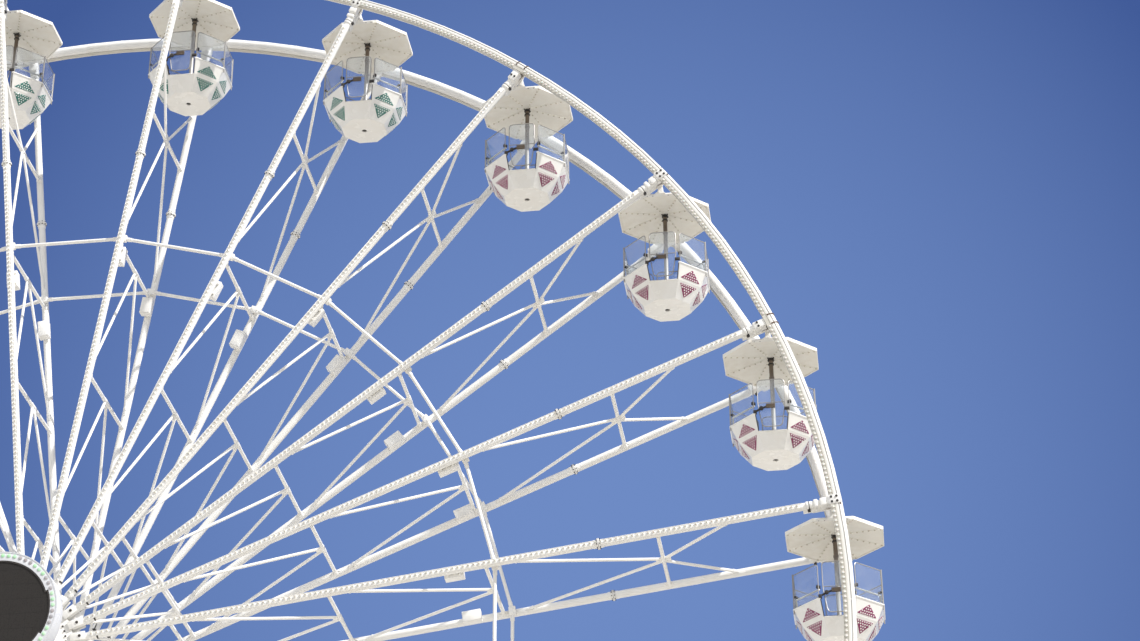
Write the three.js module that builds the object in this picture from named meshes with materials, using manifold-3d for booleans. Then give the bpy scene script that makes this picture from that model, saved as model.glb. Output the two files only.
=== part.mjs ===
// Fairground observation wheel with twenty-four open gondolas.
// Millimetres, +Z up, +X to the right of the front, -Y towards the front.
// The origin is on the ground, straight below the hub.
import * as THREE from 'three';
import { mergeVertices } from 'three/addons/utils/BufferGeometryUtils.js';
import Module from 'manifold-3d';

const wasm = await Module();
wasm.setup();

// Wheel
const GONDOLA_COUNT = 24;
const SPOKE_STEP = (2 * Math.PI) / GONDOLA_COUNT;
const FIRST_SPOKE_ANGLE = SPOKE_STEP / 2;
const RIM_RADIUS = 17000;
const HUB_HEIGHT = 21200;
const SIDE_Y = 1340;
const RIM_TUBE_APOTHEM = 130;
const RIM_TUBE_SIDES = 8;
const RIM_FACETS = 48;
const SPOKE_APOTHEM = 78;
const SPOKE_INNER_Y = SIDE_Y - SPOKE_APOTHEM;
const SPOKE_OUTER_Y = SIDE_Y + SPOKE_APOTHEM;
const SPOKE_INNER_RADIUS = 1050;
const CROSS_BAR_APOTHEM = 48;
const CROSS_BAR_RADII = [3060, 6400, 9700, 13290];
const MID_RING_RADIUS = 9810;
const MID_RING_APOTHEM = 39;
const MID_RING_SIDES = 4;

// Gaps where pieces are seated, and overlaps where bars are welded into one piece
const SEAT_GAP = 0.3;
const WELD = 10;

// Gondola pivots
const PIVOT_RADIUS = 16900;
const PIN_RADIUS = 40;
const PIN_CLEARANCE = 0.5;
const PIN_SIDES = 6;
const PIN_END_Y = 1204;
const BEARING_INNER_Y = 1150;
const BEARING_OUTER_Y = 1200;
const BEARING_HALF_WIDTH = 100;
const BEARING_FOOT_RADIUS = 16450;
const BEARING_SHOULDER_RADIUS = 16750;
const BEARING_TIP_RADIUS = 17010;

// Gondola: heights from its pivot, and apothems of its octagon
const GONDOLA_SIDES = 8;
const TUB_BOTTOM_Z = -2590;
const TUB_BOTTOM_APOTHEM = 500;
const TUB_FLOOR_Z = -2480;
const KNUCKLE_Z = -2250;
const KNUCKLE_APOTHEM = 760;
const TUB_RIM_Z = -1920;
const TUB_RIM_APOTHEM = 918;
const TUB_WALL = 45;
const SCREEN_TOP_Z = -1160;
const SCREEN_TOP_APOTHEM = 905;
const SCREEN_THICKNESS = 20;
const BENCH_TOP_Z = -2090;
const BENCH_TOP_APOTHEM = 790;
const AISLE_HALF_WIDTH = 330;
const AISLE_HALF_LENGTH = 540;
const POST_APOTHEM = 46;
const PARASOL_APOTHEM = 1011;
const PARASOL_RIM_Z = -267;
const PARASOL_FASCIA = 78;
const PARASOL_UNDER_APEX_Z = -124;
const PARASOL_TOP_APEX_Z = -84;
const HANGER_BEAM_HALF_WIDTH = 55;
const HANGER_BEAM_BOTTOM_Z = -110;
const HANGER_BEAM_TOP_Z = -40;
const HANGER_INNER_Y = 1060;
const HANGER_OUTER_Y = 1140;
const HANGER_TOP_Z = 75;
const HANGER_TOP_HALF_WIDTH = 75;
const HANGER_SHOULDER_Z = 0;
const HANGER_NECK_HALF_WIDTH = 50;
const HANGER_NECK_TOP_Z = -60;
const HANGER_NECK_BOTTOM_Z = -205;
const HANGER_FOOT_HALF_WIDTH = 115;
const HANGER_BOTTOM_Z = -267;
const HANGER_FLANGE_HALF_LENGTH = 335;
const HANGER_FLANGE_TOP_Z = -235;

// Hub, axle and display
const HUB_DRUM_RADIUS = 420;
const HUB_DRUM_SIDES = 12;
const HUB_HALF_WIDTH = 1990;
const AXLE_RADIUS = 200;
const AXLE_SIDES = 12;
const AXLE_CLEARANCE = 0.4;
const AXLE_CAP_RADIUS = 260;
const AXLE_CAP_Y = 2560;
const DISPLAY_RADIUS = 1292;
const DISPLAY_RING_WIDTH = 230;
const DISPLAY_FRONT_Y = -3110;
const DISPLAY_FACE_Y = -3050;
const DISPLAY_BACK_Y = -2900;
const DISPLAY_BOSS_RADIUS = 330;

// Supports
const HEAD_HALF_SIZE = 450;
const HEAD_INNER_Y = 2000;
const HEAD_OUTER_Y = 2500;
const FOOT_X = 8500;
const FOOT_Y = 5500;
const FOOT_HALF_SIZE = 450;
const FOOT_BLOCK_HEIGHT = 300;
const LEG_HEAD_APOTHEM = 210;
const LEG_FOOT_APOTHEM = 300;
const LEG_HEAD_X = 210;
const TIE_HEIGHTS = [7000, 14000];
const TIE_APOTHEM = 150;

// Base frame
const BEAM_HEIGHT = 320;
const BEAM_HALF_WIDTH = 200;
const PAD_HEIGHT = 80;
const PAD_HALF_SIZE = 550;
const BASE_TOP_Z = PAD_HEIGHT + BEAM_HEIGHT;
const CROSS_BEAM_Y = 2400;
const SLEEPER_X = 3200;
const SLEEPER_HALF_SIZE = 190;
const BASE_HALF_LENGTH_Y = FOOT_Y + 400;

// Boarding platform and stairs
const DECK_TOP_Z = 1650;
const DECK_THICKNESS = 100;
const DECK_HALF_X = 3800;
const DECK_HALF_Y = 3000;
const DECK_POST_HALF = 70;
const RAIL_HALF = 25;
const RAIL_HEIGHT = 1100;
const RAIL_INSET = 60;
const LANE_HALF_Y = 1500;
const STAIR_HALF_X = 1400;
const STAIR_RISERS = 9;
const STAIR_GOING = 280;
const STAIR_DEPTH = 220;
const STAIR_TOP_PLATE = 40;

// Paints
const paint = (color, roughness, metalness) => new THREE.MeshStandardMaterial({ color, roughness, metalness });
const WHITE_PAINT = paint(0xe9e6df, 0.45, 0.1);
const WHITE_SHELL = paint(0xe6e2d8, 0.3, 0.0);
const DARK_SCREEN = paint(0x2a211f, 0.5, 0.1);
const BARE_STEEL = paint(0x8a8c8e, 0.4, 0.8);
const DECK_GREY = paint(0x8f9091, 0.7, 0.2);

// Solids from three.js geometry, and back

function asSolid(geometry) {
  geometry.deleteAttribute('normal');
  geometry.deleteAttribute('uv');
  const merged = mergeVertices(geometry, 1e-3);
  const corners = merged.index.array;
  const triangles = [];
  for (let i = 0; i < corners.length; i += 3) {
    const [a, b, c] = [corners[i], corners[i + 1], corners[i + 2]];
    if (a !== b && b !== c && c !== a) {
      triangles.push(a, b, c);
    }
  }
  return new wasm.Manifold(new wasm.Mesh({
    numProp: 3,
    vertProperties: new Float32Array(merged.attributes.position.array),
    triVerts: new Uint32Array(triangles),
  }));
}

function asGeometry(solid) {
  const mesh = solid.getMesh();
  const geometry = new THREE.BufferGeometry();
  geometry.setAttribute('position', new THREE.BufferAttribute(mesh.vertProperties, mesh.numProp));
  geometry.setIndex(new THREE.BufferAttribute(mesh.triVerts, 1));
  geometry.computeVertexNormals();
  return geometry;
}

function joined(solids) {
  return solids.reduce((whole, solid) => whole.add(solid));
}

// Building shapes

// The low and high end of a span on one side of the middle plane.
function sideSpan(side, a, b) {
  return [Math.min(side * a, side * b), Math.max(side * a, side * b)];
}

function box([lowX, highX], [lowY, highY], [lowZ, highZ]) {
  const geometry = new THREE.BoxGeometry(highX - lowX, highY - lowY, highZ - lowZ);
  geometry.translate((lowX + highX) / 2, (lowY + highY) / 2, (lowZ + highZ) / 2);
  return asSolid(geometry);
}

// A box around a centre line along Z, half wide each way.
function squarePost(x, y, half, spanZ) {
  return box([x - half, x + half], [y - half, y + half], spanZ);
}

// A straight bar between two points, with one of its flat sides turned to face.
function bar(from, to, apothem, sides, face, endApothem = apothem) {
  const start = new THREE.Vector3(...from);
  const end = new THREE.Vector3(...to);
  const along = end.clone().sub(start);
  const length = along.length();
  along.normalize();
  const across = new THREE.Vector3().crossVectors(along, new THREE.Vector3(...face)).normalize();
  const outward = new THREE.Vector3().crossVectors(across, along);
  const corner = 1 / Math.cos(Math.PI / sides);
  const geometry = new THREE.CylinderGeometry(
    endApothem * corner, apothem * corner, length, sides, 1, false, -Math.PI / sides,
  );
  geometry.applyMatrix4(new THREE.Matrix4().makeBasis(across, along, outward));
  geometry.translate(...start.add(end).multiplyScalar(0.5).toArray());
  return asSolid(geometry);
}

// An outline in the XY plane, made solid between two heights.
function extruded(outline, [lowZ, highZ]) {
  const shape = new THREE.Shape(outline.map(([x, y]) => new THREE.Vector2(x, y)));
  const geometry = new THREE.ExtrudeGeometry(shape, { depth: highZ - lowZ, bevelEnabled: false });
  geometry.translate(0, 0, lowZ);
  return geometry;
}

// An outline in the XZ plane, made solid between two depths along Y.
function plateXZ(outline, [lowY, highY]) {
  return asSolid(extruded(outline, [-highY, -lowY]).rotateX(Math.PI / 2));
}

// An outline in the YZ plane, made solid between two places along X.
function plateYZ(outline, spanX) {
  const geometry = extruded(outline, spanX);
  geometry.applyMatrix4(new THREE.Matrix4().makeBasis(
    new THREE.Vector3(0, 1, 0), new THREE.Vector3(0, 0, 1), new THREE.Vector3(1, 0, 0),
  ));
  return asSolid(geometry);
}

// A polygonal ring or drum about Y, from (radius, y) points.
function ring(profile, sides, turn = 0) {
  const points = profile.map(([radius, y]) => new THREE.Vector2(radius, y));
  return asSolid(new THREE.LatheGeometry(points, sides, turn));
}

function prismY(radius, [lowY, highY], sides, turn = 0) {
  return ring([[0, lowY], [radius, lowY], [radius, highY], [0, highY]], sides, turn);
}

// A ring of tube about Y, with flats of the tube facing in, out and sideways.
function tubeRing(radius, centreY, apothem, tubeSides, facets) {
  const tubeRadius = apothem / Math.cos(Math.PI / tubeSides);
  const profile = [];
  for (let i = 0; i <= tubeSides; i += 1) {
    const turn = ((i % tubeSides) + 0.5) * ((2 * Math.PI) / tubeSides);
    profile.push([radius + tubeRadius * Math.sin(turn), centreY - tubeRadius * Math.cos(turn)]);
  }
  return ring(profile, facets, Math.PI / facets);
}

// An octagon about Z from (apothem, z) points, with flats square to X and Y.
function octagon(profile) {
  const corner = 1 / Math.cos(Math.PI / GONDOLA_SIDES);
  const points = profile.map(([apothem, z]) => new THREE.Vector2(apothem * corner, z));
  const geometry = new THREE.LatheGeometry(points, GONDOLA_SIDES, Math.PI / GONDOLA_SIDES);
  return asSolid(geometry.rotateX(Math.PI / 2));
}

// Wheel

// One pair of spokes with its cross bars and gondola bearings.
// X runs outwards along the spoke, Y across the wheel.
function spokeFrame(angle) {
  const spokeOuterRadius = RIM_RADIUS - RIM_TUBE_APOTHEM - SEAT_GAP;
  const parts = [];
  for (const side of [-1, 1]) {
    parts.push(box(
      [SPOKE_INNER_RADIUS, spokeOuterRadius],
      sideSpan(side, SPOKE_INNER_Y, SPOKE_OUTER_Y), [-SPOKE_APOTHEM, SPOKE_APOTHEM],
    ));
    const bearing = [
      [BEARING_FOOT_RADIUS, BEARING_INNER_Y], [BEARING_TIP_RADIUS, BEARING_INNER_Y],
      [BEARING_TIP_RADIUS, BEARING_OUTER_Y], [BEARING_SHOULDER_RADIUS, BEARING_OUTER_Y],
      [BEARING_SHOULDER_RADIUS, SPOKE_INNER_Y + WELD], [BEARING_FOOT_RADIUS, SPOKE_INNER_Y + WELD],
    ].map(([radius, y]) => [radius, side * y]);
    parts.push(asSolid(extruded(bearing, [-BEARING_HALF_WIDTH, BEARING_HALF_WIDTH])));
  }
  for (const radius of CROSS_BAR_RADII) {
    parts.push(box(
      [radius - CROSS_BAR_APOTHEM, radius + CROSS_BAR_APOTHEM],
      [-SPOKE_INNER_Y - WELD, SPOKE_INNER_Y + WELD], [-CROSS_BAR_APOTHEM, CROSS_BAR_APOTHEM],
    ));
  }
  // Each bearing hole is turned so that its flats meet the corners of the pin at rest.
  const holeRadius = (PIN_RADIUS + PIN_CLEARANCE) / Math.cos(Math.PI / PIN_SIDES);
  const hole = prismY(holeRadius, [-SIDE_Y, SIDE_Y], PIN_SIDES, angle + Math.PI / PIN_SIDES);
  return joined(parts).subtract(hole.translate([PIVOT_RADIUS, 0, 0]));
}

function rimTube(side) {
  // The corners of the rim polygon lie further out, so that its flats have the stated radius.
  const corner = 1 / Math.cos(Math.PI / RIM_FACETS);
  return tubeRing(RIM_RADIUS * corner, side * SIDE_Y, RIM_TUBE_APOTHEM, RIM_TUBE_SIDES, RIM_FACETS);
}

function midRing(side) {
  const centreY = side * (SPOKE_INNER_Y - SEAT_GAP - MID_RING_APOTHEM);
  return tubeRing(MID_RING_RADIUS, centreY, MID_RING_APOTHEM, MID_RING_SIDES, GONDOLA_COUNT);
}

function hub() {
  const flangeRadius = (SPOKE_INNER_RADIUS - SEAT_GAP) / Math.cos(SPOKE_STEP / 2);
  const drum = prismY(HUB_DRUM_RADIUS, [-HUB_HALF_WIDTH, HUB_HALF_WIDTH], HUB_DRUM_SIDES);
  const flanges = [-1, 1].map(
    (side) => prismY(flangeRadius, sideSpan(side, SPOKE_INNER_Y, SPOKE_OUTER_Y), GONDOLA_COUNT),
  );
  const boreRadius = (AXLE_RADIUS + AXLE_CLEARANCE) / Math.cos(Math.PI / AXLE_SIDES);
  const boreSpan = [-HUB_HALF_WIDTH - WELD, HUB_HALF_WIDTH + WELD];
  const bore = prismY(boreRadius, boreSpan, AXLE_SIDES, Math.PI / AXLE_SIDES);
  return joined([drum, ...flanges]).subtract(bore);
}

// Gondola, with its pivot at the origin

function tub() {
  const shell = octagon([
    [0, TUB_BOTTOM_Z], [TUB_BOTTOM_APOTHEM, TUB_BOTTOM_Z], [KNUCKLE_APOTHEM, KNUCKLE_Z],
    [TUB_RIM_APOTHEM, TUB_RIM_Z], [SCREEN_TOP_APOTHEM, SCREEN_TOP_Z],
    [SCREEN_TOP_APOTHEM - SCREEN_THICKNESS, SCREEN_TOP_Z], [TUB_RIM_APOTHEM - TUB_WALL, TUB_RIM_Z],
    [BENCH_TOP_APOTHEM, BENCH_TOP_Z], [0, BENCH_TOP_Z],
  ]);
  return shell.subtract(box(
    [-AISLE_HALF_WIDTH, AISLE_HALF_WIDTH], [-AISLE_HALF_LENGTH, AISLE_HALF_LENGTH],
    [TUB_FLOOR_Z, BENCH_TOP_Z + WELD],
  ));
}

function parasol() {
  return octagon([
    [0, PARASOL_UNDER_APEX_Z], [PARASOL_APOTHEM, PARASOL_RIM_Z],
    [PARASOL_APOTHEM, PARASOL_RIM_Z + PARASOL_FASCIA], [0, PARASOL_TOP_APEX_Z],
  ]);
}

// The beam over the parasol, its two flared hanger plates with a flange at the foot, and the pivot pins.
function hanger() {
  const rightEdge = [
    [HANGER_FOOT_HALF_WIDTH, HANGER_BOTTOM_Z], [HANGER_NECK_HALF_WIDTH, HANGER_NECK_BOTTOM_Z],
    [HANGER_NECK_HALF_WIDTH, HANGER_NECK_TOP_Z], [HANGER_TOP_HALF_WIDTH, HANGER_SHOULDER_Z],
    [HANGER_TOP_HALF_WIDTH, HANGER_TOP_Z],
  ];
  const leftEdge = rightEdge.map(([x, z]) => [-x, z]).reverse();
  const parts = [box(
    [-HANGER_BEAM_HALF_WIDTH, HANGER_BEAM_HALF_WIDTH],
    [-HANGER_INNER_Y - WELD, HANGER_INNER_Y + WELD], [HANGER_BEAM_BOTTOM_Z, HANGER_BEAM_TOP_Z],
  )];
  for (const side of [-1, 1]) {
    parts.push(plateXZ([...rightEdge, ...leftEdge], sideSpan(side, HANGER_INNER_Y, HANGER_OUTER_Y)));
    parts.push(box(
      [-HANGER_FLANGE_HALF_LENGTH, HANGER_FLANGE_HALF_LENGTH],
      sideSpan(side, PARASOL_APOTHEM - WELD, HANGER_INNER_Y + WELD), [HANGER_BOTTOM_Z, HANGER_FLANGE_TOP_Z],
    ));
    parts.push(prismY(PIN_RADIUS, sideSpan(side, HANGER_OUTER_Y - WELD, PIN_END_Y), PIN_SIDES));
  }
  return joined(parts);
}

function gondola() {
  const postSpan = [TUB_FLOOR_Z - WELD, PARASOL_UNDER_APEX_Z + WELD];
  return joined([tub(), squarePost(0, 0, POST_APOTHEM, postSpan), parasol(), hanger()]);
}

// Axle and display, with the hub centre at the origin

function axle() {
  const shaft = prismY(AXLE_RADIUS, [-HEAD_OUTER_Y, AXLE_CAP_Y], AXLE_SIDES);
  return shaft.add(prismY(AXLE_CAP_RADIUS, [HEAD_OUTER_Y + SEAT_GAP, AXLE_CAP_Y], AXLE_SIDES));
}

function hubDisplay() {
  const ringInside = DISPLAY_RADIUS - DISPLAY_RING_WIDTH;
  return ring([
    [0, DISPLAY_FACE_Y], [ringInside, DISPLAY_FACE_Y], [ringInside, DISPLAY_FRONT_Y],
    [DISPLAY_RADIUS, DISPLAY_FRONT_Y], [DISPLAY_RADIUS, DISPLAY_BACK_Y],
    [DISPLAY_BOSS_RADIUS, DISPLAY_BACK_Y], [DISPLAY_BOSS_RADIUS, -HEAD_OUTER_Y - SEAT_GAP],
    [0, -HEAD_OUTER_Y - SEAT_GAP],
  ], GONDOLA_COUNT);
}

// Supports and base, with the origin on the ground

function support(side) {
  const headY = (side * (HEAD_INNER_Y + HEAD_OUTER_Y)) / 2;
  const headSpan = sideSpan(side, HEAD_INNER_Y, HEAD_OUTER_Y);
  const footSpan = [BASE_TOP_Z + SEAT_GAP, BASE_TOP_Z + SEAT_GAP + FOOT_BLOCK_HEIGHT];
  const parts = [box(
    [-HEAD_HALF_SIZE, HEAD_HALF_SIZE], headSpan, [HUB_HEIGHT - HEAD_HALF_SIZE, HUB_HEIGHT + HEAD_HALF_SIZE],
  )];
  const foot = new THREE.Vector3(FOOT_X, side * FOOT_Y, footSpan[1] - WELD);
  const top = new THREE.Vector3(LEG_HEAD_X, headY, HUB_HEIGHT);
  for (const hand of [-1, 1]) {
    parts.push(bar(
      [hand * foot.x, foot.y, foot.z], [hand * top.x, top.y, top.z],
      LEG_FOOT_APOTHEM, 4, [0, 1, 0], LEG_HEAD_APOTHEM,
    ));
    parts.push(squarePost(hand * FOOT_X, side * FOOT_Y, FOOT_HALF_SIZE, footSpan));
  }
  for (const height of TIE_HEIGHTS) {
    const joint = foot.clone().lerp(top, (height - foot.z) / (top.z - foot.z));
    parts.push(bar([-joint.x, joint.y, height], [joint.x, joint.y, height], TIE_APOTHEM, 4, [0, 1, 0]));
  }
  const bore = prismY(AXLE_RADIUS + SEAT_GAP, [headSpan[0] - WELD, headSpan[1] + WELD], AXLE_SIDES);
  return joined(parts).subtract(bore.translate([0, 0, HUB_HEIGHT]));
}

function baseFrame() {
  const parts = [];
  const beamSpan = [PAD_HEIGHT, BASE_TOP_Z];
  for (const x of [-FOOT_X, FOOT_X]) {
    parts.push(box(
      [x - BEAM_HALF_WIDTH, x + BEAM_HALF_WIDTH], [-BASE_HALF_LENGTH_Y, BASE_HALF_LENGTH_Y], beamSpan,
    ));
    for (const y of [-FOOT_Y, FOOT_Y]) {
      parts.push(squarePost(x, y, PAD_HALF_SIZE, [0, PAD_HEIGHT]));
    }
  }
  for (const y of [-CROSS_BEAM_Y, CROSS_BEAM_Y]) {
    parts.push(box([-FOOT_X, FOOT_X], [y - BEAM_HALF_WIDTH, y + BEAM_HALF_WIDTH], beamSpan));
    for (const x of [-SLEEPER_X, SLEEPER_X]) {
      parts.push(squarePost(x, y, SLEEPER_HALF_SIZE, [0, PAD_HEIGHT + WELD]));
    }
  }
  return joined(parts);
}

// Posts with a hand rail and a knee rail, along X or along Y.
function railing(from, to, posts, footZ) {
  const parts = [];
  for (let i = 0; i < posts; i += 1) {
    const place = new THREE.Vector2(...from).lerp(new THREE.Vector2(...to), i / (posts - 1));
    parts.push(squarePost(place.x, place.y, RAIL_HALF, [footZ - WELD, footZ + RAIL_HEIGHT]));
  }
  for (const height of [RAIL_HEIGHT / 2, RAIL_HEIGHT]) {
    parts.push(box(
      [Math.min(from[0], to[0]) - RAIL_HALF, Math.max(from[0], to[0]) + RAIL_HALF],
      [Math.min(from[1], to[1]) - RAIL_HALF, Math.max(from[1], to[1]) + RAIL_HALF],
      [footZ + height - 2 * RAIL_HALF, footZ + height],
    ));
  }
  return joined(parts);
}

function boardingPlatform() {
  const deckBottom = DECK_TOP_Z - DECK_THICKNESS;
  const edgeX = DECK_HALF_X - RAIL_INSET;
  const edgeY = DECK_HALF_Y - RAIL_INSET;
  const parts = [
    box([-DECK_HALF_X, DECK_HALF_X], [-DECK_HALF_Y, DECK_HALF_Y], [deckBottom, DECK_TOP_Z]),
    railing([-edgeX, edgeY], [edgeX, edgeY], 5, DECK_TOP_Z),
  ];
  for (const hand of [-1, 1]) {
    for (const y of [-CROSS_BEAM_Y, CROSS_BEAM_Y]) {
      parts.push(squarePost(hand * SLEEPER_X, y, DECK_POST_HALF, [BASE_TOP_Z + SEAT_GAP, deckBottom + WELD]));
    }
    parts.push(railing([hand * (STAIR_HALF_X + RAIL_INSET), -edgeY], [hand * edgeX, -edgeY], 2, DECK_TOP_Z));
    for (const side of [-1, 1]) {
      parts.push(railing([hand * edgeX, side * LANE_HALF_Y], [hand * edgeX, side * edgeY], 2, DECK_TOP_Z));
    }
  }
  return joined(parts);
}

// A flight of folded steps with a hand rail on each side. Its top plate is seated on the deck's edge.
function boardingStairs() {
  const rise = DECK_TOP_Z / STAIR_RISERS;
  const topY = -DECK_HALF_Y - SEAT_GAP;
  const steps = STAIR_RISERS - 1;
  const outline = [[topY, DECK_TOP_Z]];
  for (let i = 0; i < steps; i += 1) {
    const y = topY - i * STAIR_GOING - STAIR_TOP_PLATE;
    outline.push([y, DECK_TOP_Z - i * rise], [y, DECK_TOP_Z - (i + 1) * rise]);
  }
  const bottomY = topY - steps * STAIR_GOING - STAIR_TOP_PLATE;
  outline.push([bottomY, rise], [bottomY, 0], [bottomY + STAIR_DEPTH, 0]);
  outline.push([topY, DECK_TOP_Z - rise - STAIR_DEPTH]);
  const parts = [plateYZ(outline, [-STAIR_HALF_X, STAIR_HALF_X])];
  for (const hand of [-1, 1]) {
    const x = hand * (STAIR_HALF_X - 2 * RAIL_HALF);
    const ends = [[topY - STAIR_GOING / 2, DECK_TOP_Z - rise], [bottomY + STAIR_GOING / 2, rise]];
    for (const [y, z] of ends) {
      parts.push(squarePost(x, y, RAIL_HALF, [z - WELD, z + RAIL_HEIGHT]));
    }
    const rail = ends.map(([y, z]) => [x, y, z + RAIL_HEIGHT - RAIL_HALF]);
    parts.push(bar(rail[0], rail[1], RAIL_HALF, 4, [1, 0, 0]));
  }
  return joined(parts);
}

// Assembly

const observationWheel = new THREE.Group();
const aroundHub = new THREE.Group();
aroundHub.position.set(0, 0, HUB_HEIGHT);
observationWheel.add(aroundHub);

function addPiece(group, name, solid, material) {
  const piece = new THREE.Mesh(asGeometry(solid), material);
  piece.name = name;
  group.add(piece);
  return piece;
}

const gondolaSolid = gondola();
for (let number = 0; number < GONDOLA_COUNT; number += 1) {
  const label = String(number + 1).padStart(2, '0');
  const angle = FIRST_SPOKE_ANGLE + number * SPOKE_STEP;
  addPiece(aroundHub, `spoke_frame_${label}`, spokeFrame(angle), WHITE_PAINT).rotation.y = -angle;
  addPiece(aroundHub, `gondola_${label}`, gondolaSolid, WHITE_SHELL)
    .position.set(PIVOT_RADIUS * Math.cos(angle), 0, PIVOT_RADIUS * Math.sin(angle));
}
addPiece(aroundHub, 'front_rim', rimTube(-1), WHITE_PAINT);
addPiece(aroundHub, 'rear_rim', rimTube(1), WHITE_PAINT);
addPiece(aroundHub, 'front_mid_ring', midRing(-1), WHITE_PAINT);
addPiece(aroundHub, 'rear_mid_ring', midRing(1), WHITE_PAINT);
addPiece(aroundHub, 'hub', hub(), WHITE_PAINT);
addPiece(aroundHub, 'axle', axle(), BARE_STEEL);
addPiece(aroundHub, 'hub_display', hubDisplay(), DARK_SCREEN);
addPiece(observationWheel, 'front_support', support(-1), WHITE_PAINT);
addPiece(observationWheel, 'rear_support', support(1), WHITE_PAINT);
addPiece(observationWheel, 'base_frame', baseFrame(), BARE_STEEL);
addPiece(observationWheel, 'boarding_platform', boardingPlatform(), DECK_GREY);
addPiece(observationWheel, 'boarding_stairs', boardingStairs(), DECK_GREY);

export default observationWheel;
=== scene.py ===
"""Looks of a ferris wheel: its visible pieces, their finishes, the light and the camera.

Lengths are metres. +X points to the right of the front, -Y to the front and +Z up. What is alike on
both sides of a plane is modelled on one side and mirrored.
"""

import logging
from contextlib import contextmanager
from dataclasses import dataclass
from enum import Enum
from math import cos, pi, radians, sin, sqrt, tan
from typing import Callable, Iterator, Sequence

import bpy
from mathutils import Matrix, Vector


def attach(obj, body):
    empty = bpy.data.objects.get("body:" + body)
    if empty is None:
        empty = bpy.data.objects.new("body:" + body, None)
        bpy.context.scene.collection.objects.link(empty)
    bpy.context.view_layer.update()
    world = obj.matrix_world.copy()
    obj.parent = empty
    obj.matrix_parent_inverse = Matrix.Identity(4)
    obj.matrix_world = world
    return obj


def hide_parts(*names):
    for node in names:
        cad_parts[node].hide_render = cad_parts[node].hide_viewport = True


LOG = logging.getLogger("ferris_wheel")

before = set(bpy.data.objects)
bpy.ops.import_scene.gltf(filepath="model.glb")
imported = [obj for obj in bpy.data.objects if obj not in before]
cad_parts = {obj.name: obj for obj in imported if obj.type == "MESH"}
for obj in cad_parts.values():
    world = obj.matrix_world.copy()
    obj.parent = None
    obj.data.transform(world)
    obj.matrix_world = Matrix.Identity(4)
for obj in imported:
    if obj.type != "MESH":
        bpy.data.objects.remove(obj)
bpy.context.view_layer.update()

# Sizes that several sub-assemblies share
GONDOLA_COUNT = 24
STEP_ANGLE = 2 * pi / GONDOLA_COUNT
FIRST_ANGLE = STEP_ANGLE / 2
HUB_HEIGHT = 21.2
RIM_RADIUS = 17.0
PIVOT_RADIUS = 16.9
SIDE_Y = 1.34
OCTAGON_TURN = pi / 8
QUARTER = pi / 2
EIGHTH = pi / 4

# Signs of two sides and of four corners, and directions
SIDES = (-1, 1)
CORNERS = ((-1, -1), (-1, 1), (1, -1), (1, 1))
RIGHT, REAR, UP = (1, 0, 0), (0, 1, 0), (0, 0, 1)
FRONT, DOWN = (0, -1, 0), (0, 0, -1)

Point = Sequence[float]
Piece = bpy.types.Object
Socket = bpy.types.NodeSocket


class Slot(Enum):
    """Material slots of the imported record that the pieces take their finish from."""

    WHITE_PAINT = "white_paint"
    WHITE_SHELL = "white_shell"
    PURPLE = "purple_pattern"
    TEAL = "teal_pattern"
    PARASOL = "parasol_white"
    ACRYLIC = "clear_acrylic"
    GREY_METAL = "grey_metal"
    BROWN_METAL = "brown_metal"
    BLACK_FITTING = "black_fitting"
    LAMP_CAPS = "lamp_caps"
    DARK_SCREEN = "dark_screen"
    BARE_STEEL = "bare_steel"
    BASE_PAINT = "base_paint"
    DECK_STEEL = "deck_steel"


# Mesh helpers


def only(*objects: Piece) -> None:
    """Select these objects alone.

    Args:
        *objects: The objects, the first of which becomes the active one.
    """
    for other in list(bpy.context.selected_objects):
        other.select_set(False)
    for each in objects:
        each.select_set(True)
    bpy.context.view_layer.objects.active = objects[0]


def settled() -> Piece:
    """Put the active object's place into its mesh.

    Returns:
        The active object.
    """
    obj = bpy.context.view_layer.objects.active
    only(obj)
    bpy.ops.object.transform_apply(location=True, rotation=True, scale=True)
    return obj


@contextmanager
def editing(obj: Piece, vert: bool = False, edge: bool = False) -> Iterator[None]:
    """Edit mode on one object.

    Args:
        obj: The object.
        vert: Whether vertices are selected.
        edge: Whether edges are selected. Faces are where neither is asked for.
    """
    only(obj)
    bpy.context.tool_settings.mesh_select_mode = (vert, edge, not (vert or edge))
    bpy.ops.object.mode_set(mode="EDIT")
    yield
    bpy.ops.object.mode_set(mode="OBJECT")


def face_outwards() -> None:
    """Turn the faces of the mesh in edit mode outwards."""
    bpy.ops.mesh.select_all(action="SELECT")
    bpy.ops.mesh.normals_make_consistent(inside=False)


def pick(obj: Piece, faces: Callable = None, verts: Callable = None) -> None:
    """Select mesh items for which a test holds, and nothing else.

    Args:
        obj: The object, in object mode.
        faces: Test on a polygon.
        verts: Test on a vertex position.
    """
    mesh = obj.data
    for items in (mesh.vertices, mesh.edges, mesh.polygons):
        items.foreach_set("select", [False] * len(items))
    for polygon in mesh.polygons if faces else ():
        polygon.select = bool(faces(polygon))
    for vertex in mesh.vertices if verts else ():
        vertex.select = bool(verts(vertex.co))


def lifted(obj: Piece, verts: Callable, height: float) -> None:
    """Move some vertices up.

    Args:
        obj: The object.
        verts: Test on a vertex position.
        height: How far they move.
    """
    pick(obj, verts=verts)
    with editing(obj, vert=True):
        bpy.ops.transform.translate(value=(0, 0, height))


def modified(obj: Piece, kind: str, **settings: object) -> Piece:
    """Add a modifier, set it and apply it.

    Args:
        obj: The object that it changes.
        kind: Blender's modifier type.
        **settings: The modifier's own values.

    Returns:
        The same object.
    """
    only(obj)
    modifier = obj.modifiers.new(kind.lower(), kind)
    for name, value in settings.items():
        setattr(modifier, name, value)
    bpy.ops.object.modifier_apply(modifier=modifier.name)
    return obj


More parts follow.
